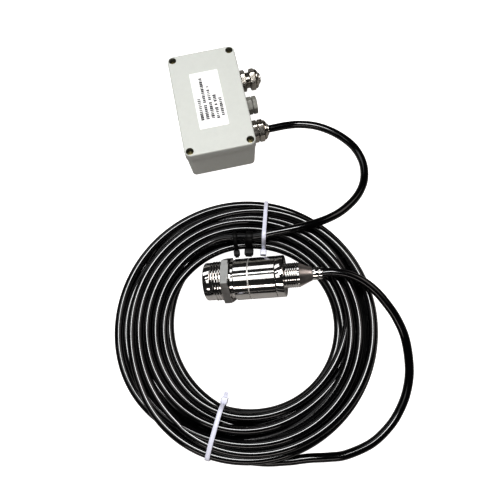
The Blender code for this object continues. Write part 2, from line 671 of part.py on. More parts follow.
def probe_body(frame):
    bore = BODY_RADIUS - PROBE_WALL
    groove = BODY_START + GROOVE_POSITION
    floor = BODY_RADIUS - GROOVE_DEPTH
    turned("probe_body_tube", [
        (bore, BODY_START), (BODY_RADIUS - 0.5 * MM, BODY_START), (BODY_RADIUS, BODY_START + 0.5 * MM),
        (BODY_RADIUS, groove), (floor, groove), (floor, groove + GROOVE_WIDTH), (BODY_RADIUS, groove + GROOVE_WIDTH),
        (BODY_RADIUS, BODY_END), (bore, BODY_END)], "stainless", frame, 36)
    for name, low in (("body_seal_front", BODY_START + GAP), ("body_seal_rear", BODY_END - SEAL_RING - GAP)):
        turned(name, [(bore - GAP - SEAL_RING, low), (bore - GAP, low), (bore - GAP, low + SEAL_RING),
                      (bore - GAP - SEAL_RING, low + SEAL_RING)], "gasket_rubber", frame, 20)
    half = PROBE_BOARD_WIDTH / 2
    low = (BODY_START + BODY_END - PROBE_BOARD_LENGTH) / 2
    block("probe_board", (-half, -BOARD_THICKNESS / 2, low), (half, BOARD_THICKNESS / 2, low + PROBE_BOARD_LENGTH),
          "board_green", frame)


def probe_tail(frame):
    inner = BODY_RADIUS - PROBE_WALL
    thread_bore = TAIL_THREAD_RADIUS - 2 * PROBE_WALL
    turned("probe_tail", [
        (inner, TAIL_START), (BODY_RADIUS - 0.4 * MM, TAIL_START), (BODY_RADIUS, TAIL_START + 0.4 * MM),
        (BODY_RADIUS, TAIL_FACE - 0.6 * MM), (BODY_RADIUS - 0.6 * MM, TAIL_FACE),
        (TAIL_THREAD_RADIUS, TAIL_FACE), (TAIL_THREAD_RADIUS, CONE_START),
        (TAIL_THREAD_RADIUS - 0.8 * MM, CONE_START), (FERRULE_RADIUS, CONE_END), (CABLE_BORE, CONE_END),
        (CABLE_BORE, CONE_START), (thread_bore, CONE_START), (thread_bore, TAIL_FACE - 2 * MM),
        (inner, TAIL_FACE - 2 * MM)], "stainless", frame, 36)
    low = TAIL_FACE
    turned("tail_seal", [(CABLE_BORE, low), (thread_bore - GAP, low), (thread_bore - GAP, CONE_START - GAP),
                         (CABLE_BORE, CONE_START - GAP)], "gasket_rubber", frame, 24)
    turned("cable_ferrule", [
        (CABLE_BORE, FERRULE_START), (FERRULE_RADIUS, FERRULE_START), (FERRULE_RADIUS, PROBE_END - 0.4 * MM),
        (FERRULE_RADIUS - 0.4 * MM, PROBE_END), (CABLE_BORE, PROBE_END)], "stainless", frame)


# ---------------------------------------------------------------- cable

def smooth_points(route, step):
    """Evenly spaced points on the smooth curve through a route's points."""
    fine = []
    last = len(route) - 1
    for i in range(last):
        before = route[max(i - 1, 0)]
        after = route[min(i + 2, last)]
        p, q = route[i], route[i + 1]
        leave = (q - before) / 2
        arrive = (after - p) / 2
        for k in range(12):
            t = k / 12
            fine.append((2 * t**3 - 3 * t**2 + 1) * p + (t**3 - 2 * t**2 + t) * leave
                        + (3 * t**2 - 2 * t**3) * q + (t**3 - t**2) * arrive)
    fine.append(route[-1])
    lengths = [0.0]
    for a, b in zip(fine, fine[1:]):
        lengths.append(lengths[-1] + (b - a).length)
    count = max(2, round(lengths[-1] / step))
    points = []
    i = 0
    for k in range(count + 1):
        target = lengths[-1] * k / count
        while i < len(fine) - 2 and lengths[i + 1] < target:
            i += 1
        part = (target - lengths[i]) / (lengths[i + 1] - lengths[i])
        points.append(fine[i].lerp(fine[i + 1], min(part, 1.0)))
    return points


def tube(name, points, radius, material, resolution=3):
    curve = bpy.data.curves.new(name, "CURVE")
    curve.dimensions = "3D"
    curve.bevel_depth = radius
    curve.bevel_resolution = resolution
    curve.use_fill_caps = True
    spline = curve.splines.new("POLY")
    spline.points.add(len(points) - 1)
    for place, point in zip(spline.points, points):
        place.co = (*point, 1)
    curve.materials.append(bpy.data.materials[material])
    bpy.context.collection.objects.link(bpy.data.objects.new(name, curve))


def free_leads():
    box_route = [Vector(p) * MM for p in BOX_LEAD]
    tube("cable_box_lead", smooth_points(box_route, LEAD_STEP), CABLE_DIAMETER / 2, "cable_black")
    inside = FERRULE_START + MM
    straight = [probe_point(d) for d in (inside, PROBE_END, PROBE_END + CABLE_DIAMETER)]
    probe_route = straight + [Vector(p) * MM for p in PROBE_LEAD]
    tube("cable_probe_lead", smooth_points(probe_route, LEAD_STEP), CABLE_DIAMETER / 2, "cable_black")


def coil_section(angle):
    """The coil's inner radius, outer radius and height where a ray from its centre cuts it."""
    away = angle - COIL_OPENING_HEADING
    inner = COIL_OPENING_SHIFT * math.cos(away) + math.sqrt(
        COIL_OPENING_RADIUS ** 2 - (COIL_OPENING_SHIFT * math.sin(away)) ** 2)
    height = COIL_SECTION_AREA / (COIL_FILL * (COIL_OUTER_RADIUS - inner))
    return inner, COIL_OUTER_RADIUS, height


def section_loop(angle, outset, count):
    """(radius, height) points round the coil's section at an angle, moved outwards by outset."""
    inner, outer, height = coil_section(angle)
    middle = (inner + outer) / 2
    centre = COIL_CLEARANCE + height / 2
    points = []
    for k in range(count):
        turn = math.tau * k / count
        across = math.copysign(abs(math.cos(turn)) ** (2 / COIL_ROUNDNESS), math.cos(turn))
        up = math.copysign(abs(math.sin(turn)) ** (2 / COIL_ROUNDNESS), math.sin(turn))
        points.append((middle + across * ((outer - inner) / 2 + outset), centre + up * (height / 2 + outset)))
    return points


def cable_coil(around=48, section=16):
    rings = []
    for k in range(around):
        angle = math.tau * k / around
        rings.append([(COIL_CENTRE.x + r * math.cos(angle), COIL_CENTRE.y + r * math.sin(angle), z)
                      for r, z in section_loop(angle, 0, section)])
    lofted("cable_coil", rings, "cable_black", closed=True)


def cable_tie(name, degrees, width, head, tail, material, stations=24):
    """A strap round the coil, with its head on the inner side of the coil."""
    angle = math.radians(degrees)
    frame = axis_frame(name + "_axis", COIL_CENTRE, (0, 0, angle))
    slack = GAP + TIE_SLACK * width
    inside = section_loop(angle, slack, stations)
    outside = section_loop(angle, slack + TIE_THICKNESS, stations)
    rings = []
    for (r0, z0), (r1, z1) in zip(inside, outside):
        rings.append([(r0, -width / 2, z0), (r1, -width / 2, z1), (r1, width / 2, z1), (r0, width / 2, z0)])
    strap = lofted(name, rings, material, frame, closed=True, smooth=False)
    inner, _, height = coil_section(angle)
    edge = inner - slack
    middle = COIL_CLEARANCE + height / 2
    lock = block(name + "_head", (edge - head, -width / 2 - 0.8 * MM, middle - head / 2),
                 (edge - 0.5 * TIE_THICKNESS, width / 2 + 0.8 * MM, middle + head / 2), None, frame)
    boolean(strap, lock, "UNION")
    if tail:
        end = block(name + "_tail", (edge - head - tail, -width / 2, middle + 0.4 * MM),
                    (edge - head + 0.5 * MM, width / 2, middle + 0.4 * MM + TIE_THICKNESS), None, frame)
        boolean(strap, end, "UNION")


# ---------------------------------------------------------------- assembly

def main():
    clear_scene()
    make_materials()
    frames = make_wall_frames()
    box_base()
    box_lid()
    lid_gasket()
    label()
    circuit_board()
    wires()
    upper_axis, plug_low, plug_high = gland("upper", frames[0], NUT_TRAVEL)
    blanking_plug(upper_axis, plug_low, plug_high)
    vent(frames[1])
    gland("lower", frames[2], 0)
    frame = probe_frame()
    probe_nose(frame)
    probe_body(frame)
    probe_tail(frame)
    free_leads()
    cable_coil()
    for tie in TIES:
        cable_tie(*tie)


main()
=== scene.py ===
"""Looks of the threaded ultrasonic probe, its coiled cable and its junction box, round their CAD frame.

Metres throughout, in the CAD frame: the origin is the centre of the box's back face, on the floor,
+X points out of the wall with the cable glands, +Y runs along the box and +Z out of its lid.
"""

import math
import random

import bpy
import numpy as np
from mathutils import Matrix, Vector


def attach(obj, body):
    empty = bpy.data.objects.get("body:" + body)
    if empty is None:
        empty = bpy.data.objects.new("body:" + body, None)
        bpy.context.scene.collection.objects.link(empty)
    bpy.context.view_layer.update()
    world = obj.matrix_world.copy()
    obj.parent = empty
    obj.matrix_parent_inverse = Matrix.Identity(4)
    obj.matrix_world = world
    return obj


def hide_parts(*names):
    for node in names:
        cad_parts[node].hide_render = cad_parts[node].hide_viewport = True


bl_info = {
    "name": "Ultrasonic probe with coiled cable",
    "version": (1, 0, 0),
    "blender": (4, 5, 0),
    "location": "3D View > Sidebar > Probe",
    "description": "Builds the visible pieces of the probe, its cable and its junction box",
    "category": "Object",
}

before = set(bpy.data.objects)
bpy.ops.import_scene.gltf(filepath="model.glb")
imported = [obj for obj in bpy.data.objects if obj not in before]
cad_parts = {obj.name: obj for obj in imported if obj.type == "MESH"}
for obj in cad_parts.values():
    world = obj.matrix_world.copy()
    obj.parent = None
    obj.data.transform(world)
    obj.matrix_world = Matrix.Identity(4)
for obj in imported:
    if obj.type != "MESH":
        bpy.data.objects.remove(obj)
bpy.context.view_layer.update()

MM = 0.001
GAP = 0.3 * MM
RANDOM_SEED = 11

# Box
BOX_WIDTH = 65 * MM
BOX_LENGTH = 110 * MM
BOX_HEIGHT = 40 * MM
BASE_HEIGHT = 30 * MM
WALL_FACE_X = 32 * MM
GLAND_HEIGHT = 16 * MM
UPPER_GLAND_Y = 30.5 * MM
VENT_Y = 1.0 * MM
LOWER_GLAND_Y = -28.5 * MM
NUT_TRAVEL = 4 * MM

# Probe, from its sensing end
HEX_CENTRE = Vector((-16.2, -167.6, 19.743)) * MM
HEX_CENTRE_DISTANCE = 19.25 * MM
PROBE_HEADING = math.radians(-10.4)
PROBE_RISE = math.radians(10)
PROBE_ROLL = math.radians(-9)
FERRULE_START = 90.0 * MM
PROBE_END = 98.2 * MM

# Coil
COIL_CENTRE = Vector((-10.9, -204.5, 0)) * MM
COIL_OUTER_RADIUS = 110 * MM
COIL_OPENING_RADIUS = 66.2 * MM
COIL_OPENING_SHIFT = 8.7 * MM
COIL_OPENING_HEADING = math.radians(-23.6)
COIL_SECTION_AREA = 850 * MM * MM
COIL_FILL = 0.86
COIL_ROUNDNESS = 2.6
COIL_CLEARANCE = 2.4 * MM
COIL_FLOOR = 0.5 * MM  # under the strands, away from the ties
COIL_STEPS = 96  # stations a turn
COIL_TURNS = 16
COIL_START = math.radians(41.25)
COIL_LAST_STEPS = 66  # stations after the last whole turn

ROUTE_STEP = 2.5 * MM  # between points of a free stretch
CABLE_STEP = 2.9 * MM  # between points of the whole cable

# How the coil's strands settle
SPACING = 1.03  # distance kept between strands, in diameters
PUSH = 0.42  # share of a missing distance made up in one push
STIFFNESS, LAST_STIFFNESS = 0.7, 0.9  # share of the smoothed line in each step, and after the last
STIFF_REACH, STIFF_WIDTH = 12, 4.5  # the smoothing's reach and width, in stations
SINK = 0.04 * MM  # downwards in a step
SPREAD = 0.02  # outwards from the section's middle in a step
TIE_LIFT, TIE_LIFT_REACH = 1.9 * MM, 9 * MM  # height of the strands over a tie, and how far from it
TIE_RADIUS = 90 * MM  # where that reach is measured
LEAD_FADE = 36  # degrees over which the box lead's hold fades
TAIL_ANGLE, TAIL_FADE = 246, 24  # degrees where the probe lead's hold starts, and over which it grows
LEAD_JOIN = Vector((80, -130, 0)) * MM  # the box lead is in the coil before this x and y
TAIL_JOIN_Y = -316 * MM  # the probe lead is in the coil before this y

# Free stretches of cable, in millimetres
BOX_LEAD = (
    (22, -28.5, 16), (40, -28.5, 16), (57, -28.5, 16), (66, -28.6, 16), (79.3, -30.4, 16),
    (94.9, -37, 17), (109.6, -49.2, 18), (119.9, -65.1, 20), (123.6, -81.4, 22),
    (122, -96, 24), (116, -109.6, 26.4), (105.7, -121.2, 28.6), (91.5, -130.4, 30.3),
    (78, -135.2, 31.2), (61.6, -137.6, 31.4), (43.2, -138, 31), (26.5, -137.4, 30.2),
)
PROBE_LEAD = (
    (79, -187.4, 35), (89.2, -194.9, 34.6), (97.5, -204.6, 33), (103.6, -215.4, 30.6),
    (109.6, -229.4, 26.6), (113.2, -246.6, 20.5), (111.6, -268.4, 13), (106, -284.4, 8),
    (97.4, -297, 5), (85.7, -307.8, 3.8), (67.9, -317.3, 3.8), (46.7, -321.3, 3.8),
    (33.3, -320.4, 3.8), (15, -317.4, 3.8),
)

# Circuit board, terminals and wires
ON_BOARD = 7.7 * MM  # foot of what stands on the board
TERMINAL_CENTRE = Vector((8, -26, 0)) * MM
TERMINAL_PITCH = 6 * MM
TERMINAL_FACE = 13.1 * MM  # x at which the wires meet the terminals
WIRE_HEIGHT = (2.5 + 3 + 1.6 + 6) * MM  # floor, standoff, board, and 0.6 of the terminal block
WIRE_SPACING = 1.9 * MM
WIRE_RADIUS = 0.7 * MM

# Ties: name, angle about the coil, turn of its plane, width, head, tail, white or black
BLACK_TIE_REACH = 9 * MM  # the black ties hold only the inner strands
TIES = (
    ("cable_tie_top", 66.3, 8, 3.6 * MM, 5.2 * MM, 0.0, "tie_white"),
    ("cable_tie_bottom", 243.5, -1, 3.8 * MM, 5.4 * MM, 4 * MM, "tie_white"),
    ("cable_tie_probe_left", 84.5, 0, 3.6 * MM, 4.6 * MM, 2 * MM, "tie_black"),
    ("cable_tie_probe_right", 74.5, 0, 6.0 * MM, 5.4 * MM, 2 * MM, "tie_black"),
)


# ---------------------------------------------------------------- properties

class ProbeSizes(bpy.types.PropertyGroup):
    cable_diameter: bpy.props.FloatProperty(
        name="Cable diameter", description="Outside diameter of the cable", default=7 * MM, unit="LENGTH")
    tie_thickness: bpy.props.FloatProperty(
        name="Tie thickness", description="Thickness of a cable tie's strap", default=1.2 * MM, unit="LENGTH")
    nose_pitch: bpy.props.FloatProperty(
        name="Nose thread pitch", description="Pitch of the thread on the sensing end",
        default=2.3 * MM, unit="LENGTH")
    tail_pitch: bpy.props.FloatProperty(
        name="Rear thread pitch", description="Pitch of the thread at the cable end",
        default=1.8 * MM, unit="LENGTH")
    gland_ribs: bpy.props.IntProperty(
        name="Gland ribs", description="Slots round a gland's clamping spigot", default=16, min=6, max=40)
    settling: bpy.props.IntProperty(
        name="Settling steps", description="Steps that the coil's strands take to settle against each other",
        default=420, min=20, max=2000)


class ProbeColours(bpy.types.PropertyGroup):
    box: bpy.props.FloatVectorProperty(
        name="Box", description="Moulded plastic of the box and its lid", subtype="COLOR", size=3,
        default=(0.605, 0.622, 0.592), min=0, max=1)
    cable: bpy.props.FloatVectorProperty(
        name="Cable", description="Jacket of the cable", subtype="COLOR", size=3,
        default=(0.0012, 0.0012, 0.0016), min=0, max=1)
    tie: bpy.props.FloatVectorProperty(
        name="White ties", description="Nylon of the white cable ties", subtype="COLOR", size=3,
        default=(0.72, 0.73, 0.83), min=0, max=1)
    vent: bpy.props.FloatVectorProperty(
        name="Vent", description="Plastic of the vent plug", subtype="COLOR", size=3,
        default=(0.28, 0.28, 0.255), min=0, max=1)


# ---------------------------------------------------------------- mesh tools

SQUARE = ((-1, -1), (1, -1), (1, 1), (-1, 1))


def look(name):
    return bpy.data.materials["look_" + name]


def radians(*degrees):
    return [math.radians(d) for d in degrees]


def link(name, mesh):
    piece = bpy.data.objects.new(name, mesh)
    bpy.context.scene.collection.objects.link(piece)
    return piece


def mesh_from(name, points, faces, place=None, sharp=24):
    """A mesh with outward normals, placed by a matrix, smooth but for edges sharper than an angle."""
    mesh = bpy.data.meshes.new(name)
    mesh.from_pydata([tuple(p) for p in points], [], faces)
    if place is not None:
        mesh.transform(place)
    mesh.update()
    mesh.shade_smooth()
    mesh.set_sharp_from_angle(angle=math.radians(sharp))
    return mesh


def softened(outline, reach, steps=4, closed=True):
    """Round an outline's corners, each over at most a reach along its two sides."""
    count = len(outline)
    made = []
    for i, corner in enumerate(outline):
        if not closed and i in (0, count - 1):
            made.append(tuple(corner))
            continue
        here = Vector(corner)
        before = Vector(outline[i - 1]) - here
        after = Vector(outline[(i + 1) % count]) - here
        back = min(reach, 0.45 * before.length)
        on = min(reach, 0.45 * after.length)
        start = here + before.normalized() * back
        end = here + after.normalized() * on
        for k in range(steps + 1):
            t = k / steps
            made.append(tuple((1 - t) ** 2 * start + 2 * t * (1 - t) * here + t * t * end))
    return made


def hexagon_radius(half_flats, angle):
    return half_flats / math.cos(angle % math.radians(60) - math.radians(30))


def ring_points(station, sides):
    """One ring of a turned piece; a station is (radius, height) or (half flats, height, corner radius)."""
    points = []
    for k in range(sides):
        angle = math.tau * k / sides
        radius = station[0]
        if len(station) == 3:
            radius = min(hexagon_radius(radius, angle), station[2])
        points.append((radius * math.cos(angle), radius * math.sin(angle), station[1]))
    return points


def turned_mesh(name, stations, place, sides=96, sharp=24):
    """Turn an outline about a place's Z. An outline that starts on the axis is capped, or else it is closed.

    The UVs are the share of a turn and the distance along the outline in metres.
    """
    on_axis = stations[0][0] < 1e-7
    kept = stations[1:-1] if on_axis else stations
    rings = [ring_points(s, sides) for s in kept]
    points = [p for ring in rings for p in ring]
    faces = []
    around = []
    travel = [0.0]
    for a, b in zip(kept, [*kept[1:], kept[0]]):
        travel.append(travel[-1] + math.dist(a[:2], b[:2]))
    last = len(rings) - 1 if on_axis else len(rings)
    for i in range(last):
        here, there = i * sides, (i + 1) % len(rings) * sides
        for k in range(sides):
            n = (k + 1) % sides
            faces.append((here + k, here + n, there + n, there + k))
            u0, u1 = k / sides, (k + 1) / sides
            around += [(u0, travel[i]), (u1, travel[i]), (u1, travel[i + 1]), (u0, travel[i + 1])]
    if on_axis:
        for start in (0, (len(rings) - 1) * sides):
            cap = list(range(start, start + sides))
            faces.append(tuple(reversed(cap)) if start == 0 else tuple(cap))
            around += [(0.5, 0.0)] * sides
    mesh = bpy.data.meshes.new(name)
    mesh.from_pydata(points, [], faces)
    layer = mesh.uv_layers.new(name="UVMap")
    layer.data.foreach_set("uv", np.array(around, np.float32).ravel())
    area = sum(a[0] * b[1] - b[0] * a[1] for a, b in zip(stations, [*stations[1:], stations[0]]))
    if area < 0:
        mesh.flip_normals()
    mesh.transform(place)
    mesh.update()
    mesh.shade_smooth()
    mesh.set_sharp_from_angle(angle=math.radians(sharp))
    return mesh


def lofted_mesh(name, rings, place=None, closed=False, sharp=24):
    """Skin equal rings of points; closed joins the last ring to the first, or the ends are capped."""
    count = len(rings[0])
    points = [p for ring in rings for p in ring]
    faces = []
    for i in range(len(rings) if closed else len(rings) - 1):
        here, there = i * count, (i + 1) % len(rings) * count
        for k in range(count):
            n = (k + 1) % count
            faces.append((here + k, here + n, there + n, there + k))
    if not closed:
        faces.append(tuple(reversed(range(count))))
        faces.append(tuple(range((len(rings) - 1) * count, len(rings) * count)))
    mesh = mesh_from(name, points, faces, place, sharp)
    if signed_volume(mesh) < 0:
        mesh.flip_normals()
    return mesh


def signed_volume(mesh):
    points = [v.co for v in mesh.vertices]
    total = 0.0
    for face in mesh.polygons:
        corner = face.vertices
        for i in range(1, len(corner) - 1):
            total += points[corner[0]].dot(points[corner[i]].cross(points[corner[i + 1]]))
    return total


def joined(name, meshes):
    """One mesh from several."""
    pieces = [link(f"{name}_{i}", m) for i, m in enumerate(meshes)]
    with bpy.context.temp_override(active_object=pieces[0], selected_editable_objects=pieces):
        bpy.ops.object.join()
    mesh = pieces[0].data
    bpy.data.objects.remove(pieces[0])
    mesh.name = name
    return mesh


def plain(piece):
    """A mesh of the piece with its modifiers applied; the piece itself is removed."""
    bpy.context.view_layer.update()
    evaluated = piece.evaluated_get(bpy.context.evaluated_depsgraph_get())
    mesh = bpy.data.meshes.new_from_object(evaluated)
    bpy.data.objects.remove(piece)
    return mesh


def carved(name, mesh, cutters, operation="DIFFERENCE", sharp=24):
    """A mesh with other meshes cut away from it or joined to it."""
    piece = link(name, mesh)
    tools = []
    for i, cutter in enumerate(cutters):
        tool = link(f"{name}_tool_{i}", cutter)
        modifier = piece.modifiers.new(f"cut_{i}", "BOOLEAN")
        modifier.operation = operation
        modifier.solver = "EXACT"
        modifier.object = tool
        tools.append(tool)
    made = plain(piece)
    for tool in tools:
        bpy.data.objects.remove(tool)
    made.shade_smooth()
    made.set_sharp_from_angle(angle=math.radians(sharp))
    return made


def placed(name, mesh, material, body, nodes):
    """The finished piece with its material, on its body, in place of its CAD nodes."""
    piece = link(name, mesh)
    mesh.materials.clear()
    mesh.materials.append(look(material))
    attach(piece, body)
    if nodes:
        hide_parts(*nodes)
    return piece


def frame_matrix(origin, z_axis, x_axis):
    z = Vector(z_axis).normalized()
    y = z.cross(Vector(x_axis)).normalized()
    x = y.cross(z)
    turn = Matrix((x, y, z)).transposed().to_4x4()
    return Matrix.Translation(origin) @ turn


def wall_place(y, outwards=0.0):
    """The frame on the gland wall whose Z points out of it."""
    return Matrix.Translation((WALL_FACE_X + outwards, y, GLAND_HEIGHT)) @ Matrix.Rotation(math.radians(90),
                                                                                           4, "Y")


def probe_direction():
    flat = math.cos(PROBE_RISE)
    return Vector((flat * math.cos(PROBE_HEADING), flat * math.sin(PROBE_HEADING), math.sin(PROBE_RISE)))


def probe_point(distance):
    return HEX_CENTRE + (distance - HEX_CENTRE_DISTANCE) * probe_direction()


def probe_place():
    turn = probe_direction().to_track_quat("Z", "X").to_matrix()
    upright = turn.inverted() @ Vector((0, 0, 1))
    spin = math.atan2(upright.y, upright.x) + math.radians(30) + PROBE_ROLL
    return Matrix.Translation(probe_point(0)) @ turn.to_4x4() @ Matrix.Rotation(spin, 4, "Z")


# ---------------------------------------------------------------- materials

def wire(tree, source, output, target, socket):
    tree.links.new(source.outputs[output], target.inputs[socket])


def node(tree, kind, **sockets):
    made = tree.nodes.new(kind)
    for label, value in sockets.items():
        made.inputs[label.replace("_", " ")].default_value = value
    return made


def surface(name, colour, roughness, metallic=0.0, mottle=0.05, mottle_scale=150.0, gloss_change=0.05,
            grain_scale=2500.0, grain_height=0.01 * MM, stretch=(1, 1, 1), by_uv=False, ior=1.5, coat=0.0):
    """A material with mottled colour and gloss and a fine grain, on the object's own coordinates or its UVs."""
    material = bpy.data.materials.new("look_" + name)
    material.use_nodes = True
    tree = material.node_tree
    shader = tree.nodes["Principled BSDF"]
    shader.inputs["Metallic"].default_value = metallic
    shader.inputs["IOR"].default_value = ior
    shader.inputs["Coat Weight"].default_value = coat
    where = tree.nodes.new("ShaderNodeTexCoord")
    mottles = node(tree, "ShaderNodeTexNoise", Scale=mottle_scale, Detail=4.0, Roughness=0.6)
    wire(tree, where, "Object", mottles, "Vector")
    ramp = tree.nodes.new("ShaderNodeValToRGB")
    ramp.color_ramp.elements[0].position = 0.35
    ramp.color_ramp.elements[1].position = 0.65
    ramp.color_ramp.elements[0].color = (*[c * (1 - mottle) for c in colour], 1)
    ramp.color_ramp.elements[1].color = (*[min(1, c * (1 + mottle)) for c in colour], 1)
    wire(tree, mottles, "Fac", ramp, "Fac")
    wire(tree, ramp, "Color", shader, "Base Color")
    gloss = tree.nodes.new("ShaderNodeMapRange")
    gloss.inputs["From Min"].default_value = 0.3
    gloss.inputs["From Max"].default_value = 0.7
    gloss.inputs["To Min"].default_value = max(0.02, roughness - gloss_change)
    gloss.inputs["To Max"].default_value = min(1.0, roughness + gloss_change)
    wire(tree, mottles, "Fac", gloss, "Value")
    wire(tree, gloss, "Result", shader, "Roughness")
    mapping = tree.nodes.new("ShaderNodeMapping")
    mapping.inputs["Scale"].default_value = stretch
    tree.links.new(where.outputs["UV" if by_uv else "Object"], mapping.inputs["Vector"])
    grain = node(tree, "ShaderNodeTexNoise", Scale=grain_scale, Detail=3.0, Roughness=0.55)
    wire(tree, mapping, "Vector", grain, "Vector")
    bump = node(tree, "ShaderNodeBump", Strength=1.0, Distance=grain_height)
    wire(tree, grain, "Fac", bump, "Height")
    wire(tree, bump, "Normal", shader, "Normal")
    return material


def make_materials(colours):
    surface("box_grey", tuple(colours.box), 0.55, mottle=0.015, grain_scale=1800, grain_height=0.02 * MM)
    surface("label_white", (0.93, 0.93, 0.92), 0.5, mottle=0.012, grain_scale=900, grain_height=0.004 * MM)
    # Painted shade: a dark copy of the box plastic, laid on the walls inside the four screw wells to darken
    # them.
    surface("box_painted_shade", (0.085, 0.085, 0.065), 0.6, mottle=0.2)
    surface("label_print", (0.03, 0.03, 0.035), 0.5, mottle=0.3, mottle_scale=900)
    surface("gasket_rubber", (0.02, 0.02, 0.02), 0.75, mottle=0.2)
    surface("screw_brass", (0.36, 0.33, 0.20), 0.35, metallic=1.0, mottle=0.25, mottle_scale=500,
            gloss_change=0.1)
    surface("insert_brass", (0.72, 0.55, 0.26), 0.3, metallic=1.0, mottle=0.1, gloss_change=0.1)
    surface("board_green", (0.03, 0.20, 0.08), 0.35, mottle=0.35, mottle_scale=400, coat=0.3)
    surface("terminal_green", (0.04, 0.32, 0.11), 0.4, mottle=0.06)
    surface("nickel", (0.44, 0.415, 0.375), 0.24, metallic=1.0, mottle=0.06, mottle_scale=400,
            gloss_change=0.05,
            grain_scale=260, grain_height=0.0006 * MM, stretch=(1, 60, 1), by_uv=True)
    surface("nylon_white", (0.86, 0.86, 0.84), 0.32, mottle=0.02)
    surface("vent_grey", tuple(colours.vent), 0.38, mottle=0.06, mottle_scale=400)
    surface("membrane_white", (0.88, 0.88, 0.87), 0.7, mottle=0.03, grain_scale=4000)
    surface("stainless", (0.68, 0.665, 0.645), 0.09, metallic=1.0, mottle=0.035, mottle_scale=120,
            gloss_change=0.025,
            grain_scale=300, grain_height=0.0004 * MM, stretch=(1, 90, 1), by_uv=True)
    # Painted highlight: a lighter, rougher copy of the stainless for the probe body's groove, to draw the light
    # ring that the groove reflects.
    surface("stainless_painted_highlight", (0.74, 0.73, 0.71), 0.5, metallic=1.0, mottle=0.03)
    surface("stainless_warm", (0.74, 0.68, 0.65), 0.34, metallic=1.0, mottle=0.06, mottle_scale=200)
    # Painted shade with a satin finish: a darker, rougher copy of the stainless for the hex flats of the nose.
    surface("stainless_satin_shade", (0.38, 0.38, 0.37), 0.40, metallic=1.0, mottle=0.05, mottle_scale=200,
            gloss_change=0.05,
            grain_scale=300, grain_height=0.001 * MM, stretch=(1, 90, 1), by_uv=True)
    surface("window_epoxy", (0.08, 0.09, 0.10), 0.35, mottle=0.15)
    surface("ceramic_piezo", (0.60, 0.54, 0.42), 0.55, mottle=0.08)
    surface("backing_grey", (0.16, 0.15, 0.14), 0.8, mottle=0.2, mottle_scale=600)
    surface("cable_black", tuple(colours.cable), 0.11, mottle=0.3, mottle_scale=60, gloss_change=0.03,
            grain_scale=500, grain_height=0.002 * MM, ior=1.55)
    surface("tie_white", tuple(colours.tie), 0.35, mottle=0.03)
    surface("tie_black", (0.0015, 0.0015, 0.0015), 0.45, mottle=0.3, ior=1.3)
    surface("wire_brown", (0.16, 0.06, 0.02), 0.4, mottle=0.1)
    surface("wire_blue", (0.03, 0.08, 0.40), 0.4, mottle=0.1)
    surface("wire_yellow", (0.72, 0.56, 0.05), 0.4, mottle=0.1)


# ---------------------------------------------------------------- cable

def smooth_points(route, step):
    """Evenly spaced points on the smooth curve through a route's points."""
    fine = []
    last = len(route) - 1
    for i in range(last):
        before, after = route[max(i - 1, 0)], route[min(i + 2, last)]
        p, q = route[i], route[i + 1]
        leave, arrive = (q - before) / 2, (after - p) / 2
        for k in range(12):
            t = k / 12
            fine.append((2 * t**3 - 3 * t**2 + 1) * p + (t**3 - 2 * t**2 + t) * leave
                        + (3 * t**2 - 2 * t**3) * q + (t**3 - t**2) * arrive)
    fine.append(route[-1])
    return resampled(fine, step)


def resampled(points, step):
    lengths = np.concatenate([[0], np.cumsum([(b - a).length for a, b in zip(points, points[1:])])])
    count = max(2, round(lengths[-1] / step))
    wanted = np.linspace(0, lengths[-1], count + 1)
    grid = np.array([tuple(p) for p in points])
    return [Vector(p) for p in zip(*(np.interp(wanted, lengths, grid[:, i]) for i in range(3)))]


def coil_section(angle):
    """The coil's inner radius and height where a ray from its centre cuts it, as arrays."""
    away = angle - COIL_OPENING_HEADING
    inner = COIL_OPENING_SHIFT * np.cos(away) + np.sqrt(
        COIL_OPENING_RADIUS ** 2 - (COIL_OPENING_SHIFT * np.sin(away)) ** 2)
    return inner, COIL_SECTION_AREA / (COIL_FILL * (COIL_OUTER_RADIUS - inner))


def polar(point):
    away = point - COIL_CENTRE
    return math.atan2(away.y, away.x) % math.tau, math.hypot(away.x, away.y), point.z


def wander(count, knots, generator):
    """A smooth random curve between -1 and 1."""
    values = generator.uniform(-1, 1, knots + 4)
    place = np.linspace(1, knots + 1, count)
    low = place.astype(int)
    t = place - low
    t = t * t * (3 - 2 * t)
    return values[low] * (1 - t) + values[low + 1] * t


